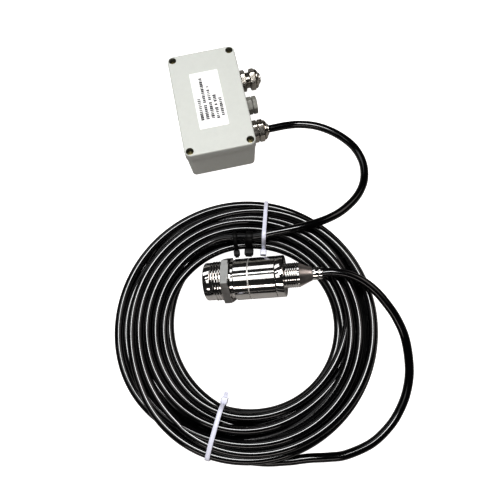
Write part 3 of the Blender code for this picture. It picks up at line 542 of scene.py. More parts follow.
def settled_coil(diameter, steps, box_route, probe_route):
    """Radius and height of the wound cable at each station, from a relaxation of its strands.

    The strands of one station push each other apart, stay inside the coil's section, sink towards
    the floor, and are kept smooth along the cable. Both ends are held on the free stretches. The
    smoothing leaves some strands nearer to each other than a diameter.
    """
    total = COIL_TURNS * COIL_STEPS + COIL_LAST_STEPS + 1
    rows = COIL_TURNS + 1
    index = np.arange(total)
    angle = COIL_START + math.tau * index / COIL_STEPS
    inner, height = coil_section(angle)
    low = COIL_FLOOR + diameter / 2
    for tie in TIES:
        near = (angle - math.radians(tie[1]) + math.pi) % math.tau - math.pi
        low = low + TIE_LIFT * np.exp(-(near * TIE_RADIUS / TIE_LIFT_REACH) ** 2)
    high = COIL_CLEARANCE + height - diameter / 2
    middle, half_width = (inner + COIL_OUTER_RADIUS) / 2, (COIL_OUTER_RADIUS - inner - diameter) / 2
    centre, half_height = (low + high) / 2, (high - low) / 2

    generator = np.random.default_rng(RANDOM_SEED)
    turn = index / COIL_STEPS
    across = 0.7 * wander(total, 22, generator)
    across += 0.5 * np.cos(math.tau * (turn + 0.35 * wander(total, 6, generator)))
    up = 0.9 * wander(total, 17, generator)
    radius = middle + half_width * np.clip(across, -1, 1)
    z = centre + half_height * np.clip(up, -1, 1)

    held_radius, held_z = radius.copy(), z.copy()
    lead = [polar(p) for p in box_route if p.x < LEAD_JOIN.x and p.y < LEAD_JOIN.y]
    first = angle <= lead[-1][0]
    fading = np.degrees(angle - lead[-1][0])
    hold = np.where(first, 1, np.clip(1 - fading / LEAD_FADE, 0, 1) ** 2)
    held_radius[first] = np.interp(angle[first], [p[0] for p in lead], [p[1] for p in lead])
    held_z[first] = np.interp(angle[first], [p[0] for p in lead], [p[2] for p in lead])
    soon = ~first & (hold > 0)
    slope = (held_radius[first][-1] - held_radius[first][-4]) / 3
    held_radius[soon] = held_radius[first][-1] + slope * np.arange(1, soon.sum() + 1)
    held_z[soon] = held_z[first][-1]
    tail = [polar(p) for p in reversed(probe_route) if p.y < TAIL_JOIN_Y]
    end = angle - math.tau * COIL_TURNS
    last = (index > total - 100) & (end > math.radians(TAIL_ANGLE))
    knots = radians(TAIL_ANGLE, 262, 274) + [p[0] for p in tail]
    radii = [104 * MM, 107.5 * MM, 111.5 * MM] + [p[1] for p in tail]
    hold[last] = np.clip((np.degrees(end[last]) - TAIL_ANGLE) / TAIL_FADE, 0, 1)
    held_radius[last] = np.interp(end[last], knots, radii)
    held_z[last] = low[last]

    reach = np.arange(-STIFF_REACH, STIFF_REACH + 1)
    kernel = np.exp(-(reach / STIFF_WIDTH) ** 2 / 2)
    kernel /= kernel.sum()

    def stiffened(values, share):
        padded = np.pad(values, STIFF_REACH, "edge")
        return values + share * (np.convolve(padded, kernel, "valid") - values)

    padding = rows * COIL_STEPS - total
    valid = np.concatenate([np.ones(total, bool), np.zeros(padding, bool)]).reshape(rows, COIL_STEPS)
    pair = (valid[:, None] & valid[None]) & ~np.eye(rows, dtype=bool)[:, :, None]
    for step in range(steps):
        radius = stiffened(radius, STIFFNESS)
        z = stiffened(z, STIFFNESS) - SINK
        radius += SPREAD * (1 - hold) * (radius - middle)
        for _ in range(3 if step < 0.9 * steps else 1):
            r_grid = np.concatenate([radius, np.zeros(padding)]).reshape(rows, COIL_STEPS)
            z_grid = np.concatenate([z, np.zeros(padding)]).reshape(rows, COIL_STEPS)
            dr = r_grid[:, None] - r_grid[None]
            dz = z_grid[:, None] - z_grid[None]
            apart = np.sqrt(dr**2 + dz**2) + 1e-9
            missing = SPACING * diameter - apart
            push = np.where(pair & (apart < SPACING * diameter), missing / apart, 0) * PUSH
            radius += (push * dr).sum(1).ravel()[:total]
            z += (push * dz).sum(1).ravel()[:total]
        u = (radius - middle) / half_width
        v = (z - centre) / half_height
        out = (np.abs(u) ** COIL_ROUNDNESS + np.abs(v) ** COIL_ROUNDNESS) ** (1 / COIL_ROUNDNESS)
        pull = np.where(out > 1, 1 / np.maximum(out, 1), 1)
        radius = middle + half_width * u * pull
        z = np.maximum(centre + half_height * v * pull, low)
        radius += hold * (held_radius - radius)
        z += hold * (held_z - z)
    radius, z = stiffened(radius, LAST_STIFFNESS), stiffened(z, LAST_STIFFNESS)
    return angle, radius + hold * (held_radius - radius), np.maximum(z + hold * (held_z - z), low)


def cable_route(sizes):
    """The whole cable's centre line: box lead, coil, and probe lead back to the ferrule."""
    d = sizes.cable_diameter
    box_route = smooth_points([Vector(p) * MM for p in BOX_LEAD], ROUTE_STEP)
    straight = [probe_point(s) for s in (FERRULE_START + MM, PROBE_END, PROBE_END + d)]
    probe_route = smooth_points(straight + [Vector(p) * MM for p in PROBE_LEAD], ROUTE_STEP)
    angle, radius, z = settled_coil(d, sizes.settling, box_route, probe_route)
    wound = [Vector((COIL_CENTRE.x + r * math.cos(a), COIL_CENTRE.y + r * math.sin(a), h))
             for a, r, h in zip(angle, radius, z)]
    before = [p for p in box_route
              if p.x > LEAD_JOIN.x or p.y > LEAD_JOIN.y or polar(p)[0] < COIL_START - 0.03]
    past = angle[-1] % math.tau + 0.03
    after = [p for p in reversed(probe_route)
             if not (p.y < TAIL_JOIN_Y and p.x < 60 * MM and polar(p)[0] < past)]
    return smooth_points(before + wound + after, CABLE_STEP)


def tube(name, points, radius, resolution, material):
    """A round tube along points, as a curve."""
    curve = bpy.data.curves.new(name, "CURVE")
    curve.dimensions = "3D"
    curve.bevel_depth = radius
    curve.bevel_resolution = resolution
    curve.use_fill_caps = True
    spline = curve.splines.new("POLY")
    spline.points.add(len(points) - 1)
    spline.points.foreach_set("co", [c for p in points for c in (*p, 1)])
    curve.materials.append(look(material))
    return curve


def cable(sizes):
    points = cable_route(sizes)
    curve = tube("cable", points, sizes.cable_diameter / 2, 5, "cable_black")
    curve.splines[0].use_smooth = True
    piece = link("cable", curve)
    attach(piece, "base")
    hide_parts("cable_box_lead", "cable_coil", "cable_probe_lead")
    return piece, points


def crossings(points, origin, along, across):
    """Where the cable's centre line passes a tie's plane, as (distance outwards, height)."""
    found = []
    for a, b in zip(points, points[1:]):
        da, db = (a - origin).dot(across), (b - origin).dot(across)
        if (da < 0) != (db < 0):
            hit = a.lerp(b, da / (da - db))
            out = (hit - origin).dot(along)
            if abs(out) < 34 * MM:
                found.append((out, hit.z))
    return found


def wrapped_outline(circles, radius, steps):
    """Evenly spaced points and outward directions on the taut loop round circles."""
    loop = []
    for k in range(240):
        angle = math.tau * k / 240
        facing = (math.cos(angle), math.sin(angle))
        far = max(circles, key=lambda c: c[0] * facing[0] + c[1] * facing[1])
        loop.append(Vector((far[0] + radius * facing[0], far[1] + radius * facing[1])))
    loop.append(loop[0])
    lengths = np.concatenate([[0], np.cumsum([(b - a).length for a, b in zip(loop, loop[1:])])])
    wanted = np.linspace(0, lengths[-1], steps, endpoint=False)
    grid = np.array([tuple(p) for p in loop])
    return [(float(x), float(y)) for x, y in zip(*(np.interp(wanted, lengths,
                                                             grid[:, i]) for i in range(2)))]


def tie(entry, points, sizes):
    name, degrees, skew, width, head, tail, colour = entry
    angle = math.radians(degrees)
    outwards = Vector((math.cos(angle), math.sin(angle), 0))
    origin = COIL_CENTRE + 88 * MM * outwards
    along = Matrix.Rotation(math.radians(skew), 3, "Z") @ outwards
    across = Vector((0, 0, 1)).cross(along)
    place = Matrix((along, Vector((0, 0, 1)), -across)).transposed().to_4x4()
    place.translation = (origin.x, origin.y, 0)
    circles = crossings(points, origin, along, across)
    if colour == "tie_black":
        inner = min(out for out, _ in circles)
        circles = [(out, height) for out, height in circles if out < inner + BLACK_TIE_REACH]
    thick = sizes.tie_thickness
    slack = 0.25 * MM
    radius = sizes.cable_diameter / 2 + slack
    inside = wrapped_outline(circles, radius, 96)
    outside = wrapped_outline(circles, radius + thick, 96)
    rings = []
    half = width / 2
    for (x0, y0), (x1, y1) in zip(inside, outside):
        bevel = 0.3
        corners = [(0, -half * 0.93), (bevel * 0.5, -half), (1 - bevel, -half), (1, -half * 0.82),
                   (1, half * 0.82), (1 - bevel, half), (bevel * 0.5, half), (0, half * 0.93)]
        rings.append([(x0 + (x1 - x0) * t, y0 + (y1 - y0) * t, w) for t, w in corners])
    strap = lofted_mesh(name, rings, place, closed=True, sharp=50)
    edge = min(x for x, _ in outside)
    heights = [y for x, y in outside if x < edge + 2 * MM]
    level = sum(heights) / len(heights)
    middle = edge + 0.4 * thick - head / 2
    outline = softened([(middle + sx * head / 2, level + sy * head / 2) for sx, sy in SQUARE], 1.0 * MM, 4)
    deep = half + 0.8 * MM
    lock_rings = []
    for w, inset in ((-deep, 0.5 * MM), (-deep + 0.4 * MM, 0), (deep - 0.4 * MM, 0), (deep, 0.5 * MM)):
        share = 1 - 2 * inset / head
        lock_rings.append([(middle + (x - middle) * share, level + (y - level) * share, w) for x,
                           y in outline])
    parts = [strap, lofted_mesh(name + "_head", lock_rings, place, sharp=40)]
    if tail:
        start = edge + 0.4 * thick - head
        run = [(start + 0.5 * MM - (tail + 0.5 * MM) * t, level + 0.9 * MM + 0.6 * MM * t * t) for t in
               (0, 0.25, 0.5, 0.75, 1)]
        tail_rings = [[(x, y - thick / 2, -half * 0.9), (x, y - thick / 2, half * 0.9),
                       (x, y + thick / 2, half * 0.9), (x, y + thick / 2, -half * 0.9)] for x, y in run]
        parts.append(lofted_mesh(name + "_tail", tail_rings, place))
    return placed(name.replace("cable_tie", "tie"), joined(name, parts), colour, "base", [name])


# ---------------------------------------------------------------- node trees

def new_tree(name, inputs):
    """A geometry tree with a geometry in and out and named inputs."""
    tree = bpy.data.node_groups.new(name, "GeometryNodeTree")
    tree.interface.new_socket("Geometry", in_out="INPUT", socket_type="NodeSocketGeometry")
    for label, kind, value in inputs:
        socket = tree.interface.new_socket(label, in_out="INPUT", socket_type=kind)
        if value is not None:
            socket.default_value = value
    tree.interface.new_socket("Material", in_out="INPUT", socket_type="NodeSocketMaterial")
    tree.interface.new_socket("Geometry", in_out="OUTPUT", socket_type="NodeSocketGeometry")
    return tree, tree.nodes.new("NodeGroupInput"), tree.nodes.new("NodeGroupOutput")


def finish_tree(tree, start, end, made):
    """Add what was made to the piece, realize it, set the material and leave the tree."""
    both = tree.nodes.new("GeometryNodeJoinGeometry")
    real = tree.nodes.new("GeometryNodeRealizeInstances")
    painted = tree.nodes.new("GeometryNodeSetMaterial")
    wire(tree, start, "Geometry", both, "Geometry")
    tree.links.new(made, both.inputs["Geometry"])
    wire(tree, both, "Geometry", real, "Geometry")
    wire(tree, real, "Geometry", painted, "Geometry")
    wire(tree, start, "Material", painted, "Material")
    wire(tree, painted, "Geometry", end, "Geometry")
    return tree


def math_node(tree, operation, first, second):
    made = tree.nodes.new("ShaderNodeMath")
    made.operation = operation
    for i, value in enumerate((first, second)):
        if isinstance(value, (int, float)):
            made.inputs[i].default_value = value
        else:
            tree.links.new(value, made.inputs[i])
    return made.outputs[0]


def thread_tree():
    """Adds a screw thread round Z to a piece: a ridge of three sides swept along a spiral."""
    tree, start, end = new_tree("screw_thread", [
        ("Radius", "NodeSocketFloat", 0.01), ("Pitch", "NodeSocketFloat", 0.002),
        ("Length", "NodeSocketFloat", 0.01), ("Start", "NodeSocketFloat", 0.0), ("Ridge", "NodeSocketFloat",
                                                                                 0.0008)])
    spiral = tree.nodes.new("GeometryNodeCurveSpiral")
    spiral.inputs["Resolution"].default_value = 64
    tree.links.new(math_node(tree, "DIVIDE", start.outputs["Length"], start.outputs["Pitch"]),
                   spiral.inputs["Rotations"])
    for label in ("Start Radius", "End Radius"):
        wire(tree, start, "Radius", spiral, label)
    wire(tree, start, "Length", spiral, "Height")
    upright = tree.nodes.new("GeometryNodeSetCurveNormal")
    upright.mode = "Z_UP"
    wire(tree, spiral, "Curve", upright, "Curve")
    profile = tree.nodes.new("GeometryNodeCurvePrimitiveCircle")
    profile.inputs["Resolution"].default_value = 6
    wire(tree, start, "Ridge", profile, "Radius")
    sweep = tree.nodes.new("GeometryNodeCurveToMesh")
    sweep.inputs["Fill Caps"].default_value = True
    wire(tree, upright, "Curve", sweep, "Curve")
    wire(tree, profile, "Curve", sweep, "Profile Curve")
    lift = tree.nodes.new("ShaderNodeCombineXYZ")
    wire(tree, start, "Start", lift, "Z")
    moved = tree.nodes.new("GeometryNodeTransform")
    wire(tree, sweep, "Mesh", moved, "Geometry")
    wire(tree, lift, "Vector", moved, "Translation")
    return finish_tree(tree, start, end, moved.outputs["Geometry"])


def ring_tree():
    """Adds blocks evenly spaced round Z to a piece, each lying flat against a radius."""
    tree, start, end = new_tree("ring_of_blocks", [
        ("Count", "NodeSocketInt", 12), ("Radius", "NodeSocketFloat", 0.01), ("Height", "NodeSocketFloat",
                                                                              0.0),
        ("Block", "NodeSocketVector", (0.001, 0.001, 0.001))])
    circle = tree.nodes.new("GeometryNodeMeshCircle")
    wire(tree, start, "Count", circle, "Vertices")
    wire(tree, start, "Radius", circle, "Radius")
    lift = tree.nodes.new("ShaderNodeCombineXYZ")
    wire(tree, start, "Height", lift, "Z")
    moved = tree.nodes.new("GeometryNodeTransform")
    wire(tree, circle, "Mesh", moved, "Geometry")
    wire(tree, lift, "Vector", moved, "Translation")
    cube = tree.nodes.new("GeometryNodeMeshCube")
    wire(tree, start, "Block", cube, "Size")
    index = tree.nodes.new("GeometryNodeInputIndex")
    share = math_node(tree, "DIVIDE", index.outputs[0], start.outputs["Count"])
    spin = tree.nodes.new("ShaderNodeCombineXYZ")
    tree.links.new(math_node(tree, "MULTIPLY", share, math.tau), spin.inputs["Z"])
    turn = tree.nodes.new("FunctionNodeEulerToRotation")
    wire(tree, spin, "Vector", turn, "Euler")
    copies = tree.nodes.new("GeometryNodeInstanceOnPoints")
    wire(tree, moved, "Geometry", copies, "Points")
    wire(tree, cube, "Mesh", copies, "Instance")
    wire(tree, turn, "Rotation", copies, "Rotation")
    return finish_tree(tree, start, end, copies.outputs["Instances"])


def print_tree():
    """Bars of random length along a line: a printed line with nothing written in it."""
    tree, start, end = new_tree("printed_line", [
        ("Count", "NodeSocketInt", 12), ("Pitch", "NodeSocketFloat", 0.002), ("Bar", "NodeSocketVector",
                                                                              (1, 1, 1)),
        ("Seed", "NodeSocketInt", 0)])
    line = tree.nodes.new("GeometryNodeMeshLine")
    wire(tree, start, "Count", line, "Count")
    step = tree.nodes.new("ShaderNodeCombineXYZ")
    wire(tree, start, "Pitch", step, "Y")
    wire(tree, step, "Vector", line, "Offset")
    cube = tree.nodes.new("GeometryNodeMeshCube")
    wire(tree, start, "Bar", cube, "Size")
    stretch = tree.nodes.new("FunctionNodeRandomValue")
    stretch.data_type = "FLOAT_VECTOR"
    stretch.inputs["Min"].default_value = (0.75, 0.4, 1.0)
    stretch.inputs["Max"].default_value = (1.0, 1.0, 1.0)
    wire(tree, start, "Seed", stretch, "Seed")
    kept = tree.nodes.new("FunctionNodeRandomValue")
    kept.data_type = "BOOLEAN"
    kept.inputs["Probability"].default_value = 0.86
    wire(tree, start, "Seed", kept, "Seed")
    copies = tree.nodes.new("GeometryNodeInstanceOnPoints")
    wire(tree, line, "Mesh", copies, "Points")
    wire(tree, kept, 3, copies, "Selection")
    wire(tree, cube, "Mesh", copies, "Instance")
    wire(tree, stretch, 0, copies, "Scale")
    return finish_tree(tree, start, end, copies.outputs["Instances"])


def grown(mesh, tree, material, place, sharp=24, **values):
    """A mesh with what a tree adds to it, as a plain placed mesh."""
    piece = link("grown", mesh)
    modifier = piece.modifiers.new(tree.name, "NODES")
    modifier.node_group = tree
    values["Material"] = look(material)
    for item in tree.interface.items_tree:
        if item.item_type == "SOCKET" and item.in_out == "INPUT" and item.name in values:
            modifier[item.identifier] = values[item.name]
    made = plain(piece)
    made.transform(place)
    made.shade_smooth()
    made.set_sharp_from_angle(angle=math.radians(sharp))
    return made


# ---------------------------------------------------------------- box

def rounded_rectangle(half_width, half_length, radius, height, steps=8):
    points = []
    for quarter, (sx, sy) in enumerate(((1, 1), (-1, 1), (-1, -1), (1, -1))):
        for k in range(steps + 1):
            angle = math.radians(90) * (quarter + k / steps)
            points.append((sx * (half_width - radius) + radius * math.cos(angle),
                           sy * (half_length - radius) + radius * math.sin(angle), height))
    return points


def screw_positions():
    x, y = BOX_WIDTH / 2 - 5 * MM, BOX_LENGTH / 2 - 5 * MM
    return [(x, y), (-x, y), (-x, -y), (x, -y)]


def sealed_outline(outset, height, steps=10):
    """The box's inner outline, stepped in around each screw post."""
    half_x = BOX_WIDTH / 2 - 3.5 * MM + outset
    half_y = BOX_LENGTH / 2 - 3.5 * MM + outset
    radius = 6.2 * MM - outset
    points = []
    for x, y in screw_positions():
        to_side = math.acos((half_x - abs(x)) / radius)
        to_end = math.asin((half_y - abs(y)) / radius)
        corner = []
        for k in range(steps + 1):
            angle = -to_side - k / steps * (math.pi + to_end - to_side)
            corner.append((abs(x) + radius * math.cos(angle), abs(y) + radius * math.sin(angle)))
        if x * y < 0:
            corner.reverse()
        points += [(math.copysign(px, x), math.copysign(py, y), height) for px, py in corner]
    return points


def shell_rings(half_x, half_y, corner, profile):
    """Rounded rectangles from (inset, height) pairs."""
    return [rounded_rectangle(half_x - inset, half_y - inset, corner - min(inset, 3 * MM), z) for inset,
            z in profile]


def upright_place(x, y, z):
    return Matrix.Translation((x, y, z))


def cutter(radius, low, high, place, sides=48):
    return turned_mesh("cutter", [(0, low), (radius, low), (radius, high), (0, high)], place, sides)


def box_base():
    top_x, top_y = BOX_WIDTH / 2 - 0.5 * MM, BOX_LENGTH / 2 - 0.5 * MM
    profile = [(2.9 * MM, 0)]
    profile += [(2.9 * MM - 1.4 * MM * math.sin(a), 1.5 * MM * (1 - math.cos(a)))
                for a in radians(22, 45, 68, 90)]
    profile += [(0.15 * MM, BASE_HEIGHT - 0.4 * MM), (0.3 * MM, BASE_HEIGHT - 0.1 * MM),
                (0.5 * MM, BASE_HEIGHT)]
    shell = lofted_mesh("base_shell", shell_rings(top_x, top_y, 5.5 * MM, profile))
    added = []
    for y in (UPPER_GLAND_Y, VENT_Y, LOWER_GLAND_Y):
        outline = [(0, -2.9 * MM), (11.6 * MM, -2.9 * MM), (11.6 * MM, -0.3 * MM), (11.5 * MM, -0.08 * MM),
                   (11.3 * MM, 0), (0, 0)]
        added.append(turned_mesh("pad", outline, wall_place(y), 64))
    body = carved("base_body", shell, added, "UNION")
    cuts = [lofted_mesh("cavity", [sealed_outline(0, 2.5 * MM), sealed_outline(0, 35 * MM)])]
    for x, y in screw_positions():
        cuts.append(cutter(2.9 * MM, -14.6 * MM, MM, upright_place(x, y, BASE_HEIGHT), 32))
    for y, radius in ((UPPER_GLAND_Y, 8.2 * MM), (VENT_Y, 6.2 * MM), (LOWER_GLAND_Y, 8.2 * MM)):
        cuts.append(cutter(radius, -10 * MM, MM, wall_place(y)))
    body = carved("base_hollow", body, cuts)
    posts = []
    for x in (-21 * MM, 9 * MM):
        for y in (-37 * MM, 37 * MM):
            outline = [(0, -1.2 * MM), (2.5 * MM, -1.2 * MM), (2.5 * MM, 3 * MM), (0, 3 * MM)]
            posts.append(turned_mesh("post", outline, upright_place(x, y, 2.5 * MM), 32))
    placed("base_shell", carved("base", body, posts, "UNION"), "box_grey", "base", ["box_base"])


def box_lid():
    low = BASE_HEIGHT + GAP
    edge = 1.3 * MM
    profile = [(0.35 * MM, low), (0.1 * MM, low + 0.1 * MM), (0, low + 0.35 * MM), (0, BOX_HEIGHT - edge)]
    profile += [(edge * (1 - math.cos(a)), BOX_HEIGHT - edge * (1 - math.sin(a)))
                for a in radians(18, 36, 54, 72, 90)]
    shell = lofted_mesh("lid_shell", shell_rings(BOX_WIDTH / 2, BOX_LENGTH / 2, 6 * MM, profile), sharp=30)
    cuts = [lofted_mesh("cavity", [sealed_outline(0, low - 5 * MM),
                                   sealed_outline(0, BOX_HEIGHT - 2.6 * MM)]),
            lofted_mesh("groove", [sealed_outline(0.3 * MM, low - MM), sealed_outline(1.9 * MM, low - MM),
                                   sealed_outline(1.9 * MM, low + 1.5 * MM),
                                   sealed_outline(0.3 * MM, low + 1.5 * MM)],
                        closed=True)]
    for x, y in screw_positions():
        well = [(0, -11 * MM), (1.8 * MM, -11 * MM), (1.8 * MM, -6 * MM), (3.25 * MM, -6 * MM),
                (3.4 * MM, -5.85 * MM),
                (3.4 * MM, -0.5 * MM), (3.5 * MM, -0.2 * MM), (3.75 * MM, 0), (3.75 * MM, MM), (0, MM)]
        cuts.append(turned_mesh("well", well, upright_place(x, y, BOX_HEIGHT), 64))
    mesh = carved("lid", shell, cuts, sharp=28)
    placed("lid_shell", mesh, "box_grey", "lid", ["box_lid"])
    # Painted shade: the faces inside the four screw wells take the dark copy of the box plastic.
    mesh.materials.append(look("box_painted_shade"))
    for face in mesh.polygons:
        near = min(math.hypot(face.center.x - x, face.center.y - y) for x, y in screw_positions())
        if near < 3.45 * MM and face.center.z < BOX_HEIGHT - 0.5 * MM:
            face.material_index = 1


def lid_screws(trees):
    generator = random.Random(RANDOM_SEED)
    for n, (x, y) in enumerate(screw_positions(), 1):
        seat, head = -5.7 * MM, -3.3 * MM
        end = seat - 15 * MM
        stations = [(0, end), (1.0 * MM, end), (1.25 * MM, end + 0.5 * MM), (1.25 * MM, seat),
                    (2.7 * MM, seat),
                    (2.85 * MM, seat + 0.3 * MM), (2.85 * MM, head - 0.9 * MM),
                    (2.6 * MM, head - 0.45 * MM),
                    (2.1 * MM, head - 0.15 * MM), (1.4 * MM, head), (0, head)]
        blank = turned_mesh("screw", stations, Matrix.Identity(4), 48)
        slot_half = 0.42 * MM
        slot_box = [[(sx * 3.4 * MM, sy * slot_half, z) for sx, sy in SQUARE]
                    for z in (head - 1.2 * MM, head + MM)]
        cuts = [lofted_mesh("slot", slot_box), lofted_mesh("slot", slot_box,
                                                           Matrix.Rotation(math.radians(90), 4, "Z"))]
        cut = carved("screw_cut", blank, cuts)
        place = upright_place(x, y, BOX_HEIGHT) @ Matrix.Rotation(generator.uniform(0, math.pi / 2), 4, "Z")
        mesh = grown(cut, trees["thread"], "screw_brass", place, Radius=1.22 * MM, Pitch=0.7 * MM,
                     Length=13.2 * MM, Start=end + 0.6 * MM, Ridge=0.26 * MM)
        placed(f"screw_{n}_slotted", mesh, "screw_brass", f"screw_{n}", [f"lid_screw_{n}"])


def label(trees):
    low, high = 40.15 * MM, 40.35 * MM
    half_x, half_y, shift = 13.5 * MM, 30.75 * MM, -1.2 * MM
    rings = [[(x + shift, y, z) for x, y, z in rounded_rectangle(half_x - inset, half_y - inset, 0.8 * MM,
                                                                 z, 4)]
             for inset, z in ((0, low), (0, high - 0.05 * MM), (0.05 * MM, high))]
    placed("label_sheet", lofted_mesh("label_sheet", rings), "label_white", "lid", ["label"])
    lines = []
    for i, (across, first, last) in enumerate(((0.16, 0.42, 0.84), (0.34, 0.08, 0.84), (0.525, 0.25, 0.84),
                                              (0.70, 0.40, 0.85), (0.875, 0.46, 0.85))):
        x = shift - half_x + across * 2 * half_x
        y = half_y - last * 2 * half_y
        pitch = 2.0 * MM
        empty = bpy.data.meshes.new("line")
        lines.append(grown(empty, trees["print"], "label_print", upright_place(x, y, high + 0.015 * MM),
                           Count=int((last - first) * 2 * half_y / pitch), Pitch=pitch,
                           Bar=(3.1 * MM, 1.8 * MM, 0.04 * MM), Seed=RANDOM_SEED + i))
    placed("label_print", joined("label_print", lines), "label_print", "lid", [])


# ---------------------------------------------------------------- glands and vent

def hexagon(low, high, flats, chamfer=0.6 * MM):
    """Stations of a hexagon with its corners chamfered at both faces."""
    half, corner = flats / 2, 0.565 * flats
    return [(half * 0.985, low, half * 0.985), (half, low + 0.5 * chamfer, half * 1.06),
            (half, low + chamfer, corner),
            (half, high - chamfer, corner), (half, high - 0.5 * chamfer, half * 1.06),
            (half * 0.985, high, half * 0.985)]


def gland(side, y, opened, trees):
    place = wall_place(y)
    flange, shoulder, top = 1.9 * MM, 6.5 * MM, 12.9 * MM
    seat, step, bore = 6.7 * MM, 4.1 * MM, 5.2 * MM
    washer = [(8.2 * MM, GAP), (9.9 * MM, GAP), (10 * MM, 0.5 * MM), (10 * MM, 1.4 * MM),
              (9.9 * MM, 1.6 * MM),
              (8.2 * MM, 1.6 * MM)]
    placed(f"gland_{side}_ring", turned_mesh("washer", washer, place, 64), "gasket_rubber", "base",
           [f"gland_{side}_washer"])
    nut = [(8.2 * MM, -7.7 * MM), *hexagon(-7.7 * MM, -4.7 * MM, 21 * MM), (8.2 * MM, -4.7 * MM)]
    placed(f"gland_{side}_back_nut", turned_mesh("back_nut", nut, place), "nickel", "base",
           [f"gland_{side}_lock_nut"])
    body = [(bore, -8.5 * MM), (7.2 * MM, -8.5 * MM), (7.5 * MM, -8.2 * MM), (7.5 * MM, flange),
            *hexagon(flange, shoulder, 18.5 * MM), (7.25 * MM, shoulder), (7.25 * MM, top - 0.3 * MM),
            (7.1 * MM, top), (seat, top), (seat, step), (bore, step)]
    mesh = grown(turned_mesh("gland_body", body, Matrix.Identity(4)), trees["thread"], "nickel",
                 Matrix.Identity(4),
                 Radius=7.45 * MM, Pitch=1.5 * MM, Length=7.4 * MM, Start=-8.0 * MM, Ridge=0.42 * MM)
    mesh = grown(mesh, trees["thread"], "nickel", place, Radius=7.2 * MM, Pitch=1.3 * MM,
                 Length=5.2 * MM, Start=shoulder + 0.7 * MM, Ridge=0.38 * MM)
    placed(f"gland_{side}_threaded", mesh, "nickel", "base", [f"gland_{side}_body"])

    nut_place = place @ Matrix.Translation((0, 0, opened))
    foot, hex_top, dome_top, mouth = 6.8 * MM, 12.4 * MM, 16.6 * MM, 4.9 * MM
    half = 9.25 * MM
    dome = [(half * math.cos(a), hex_top + 4.2 * MM * math.sin(a)) for a in
            radians(4, 12, 20, 28, 36, 44, 51, 56)]
    stations = [(7.9 * MM, foot), *hexagon(foot, hex_top - 0.3 * MM, 18.5 * MM),
                (half * 0.93, hex_top - 0.1 * MM),
                *dome, (mouth + 0.3 * MM, dome_top), (mouth, dome_top - 0.2 * MM),
                (mouth, dome_top - 1.2 * MM),
                (7.9 * MM, hex_top + 0.4 * MM)]
    slots = []
    for k in range(10):
        turn = Matrix.Rotation(math.tau * (k + 0.5) / 10, 4,
                               "Z") @ Matrix.Translation((half, 0, hex_top + 1.5 * MM))
        slots.append(lofted_mesh("slot", [[(sx * 0.75 * MM, sy * 0.95 * MM, z) for sx, sy in
                                           SQUARE] for z in (-MM, MM)], turn))
    nut_mesh = carved("nut", turned_mesh("nut", stations, Matrix.Identity(4)), slots)
    nut_mesh.transform(nut_place)
    placed(f"gland_{side}_cap_nut", nut_mesh, "nickel", f"{side}_nut", [f"gland_{side}_nut"])
    claw = [(4.7 * MM, 4.4 * MM), (6.4 * MM, 4.4 * MM), (6.4 * MM, 11.6 * MM), (5.2 * MM, 14 * MM),
            (4.7 * MM, 14 * MM)]
    claw_mesh = grown(turned_mesh("claw", softened(claw, 0.2 * MM, 2), Matrix.Identity(4), 64),
                      trees["ring"],
                      "nylon_white", nut_place, Count=bpy.context.scene.probe_sizes.gland_ribs,
                      Radius=6.2 * MM,
                      Height=8 * MM, Block=(0.5 * MM, 1.1 * MM, 6.4 * MM))
    placed(f"gland_{side}_lamellae", claw_mesh, "nylon_white", f"{side}_clamp", [f"gland_{side}_claw"])
    seal = softened([(3.85 * MM, 5 * MM), (4.4 * MM, 5 * MM), (4.4 * MM, 13.2 * MM),
                     (3.85 * MM, 13.2 * MM)],
                    0.15 * MM, 2)
    placed(f"gland_{side}_sleeve", turned_mesh("seal", seal, nut_place, 48), "gasket_rubber",
           f"{side}_clamp", [f"gland_{side}_seal"])


def blanking_plug():
    low, high = 4.4 * MM, 16.6 * MM
    head = 4.4 * MM
    dome = [(head * math.cos(a), high + 0.3 * MM + 1.2 * MM * math.sin(a)) for a in
            radians(0, 20, 40, 60, 80)]
    stations = [(0, low), (3.2 * MM, low), (3.5 * MM, low + 0.3 * MM), (3.5 * MM, high - 1.2 * MM),
                (head - 0.1 * MM, high - MM), (head, high - 0.8 * MM), *dome, (0, high + 1.5 * MM)]
    place = wall_place(UPPER_GLAND_Y, NUT_TRAVEL)
    placed("plug_domed", turned_mesh("plug", stations, place), "nylon_white", "upper_clamp",
           ["blanking_plug"])


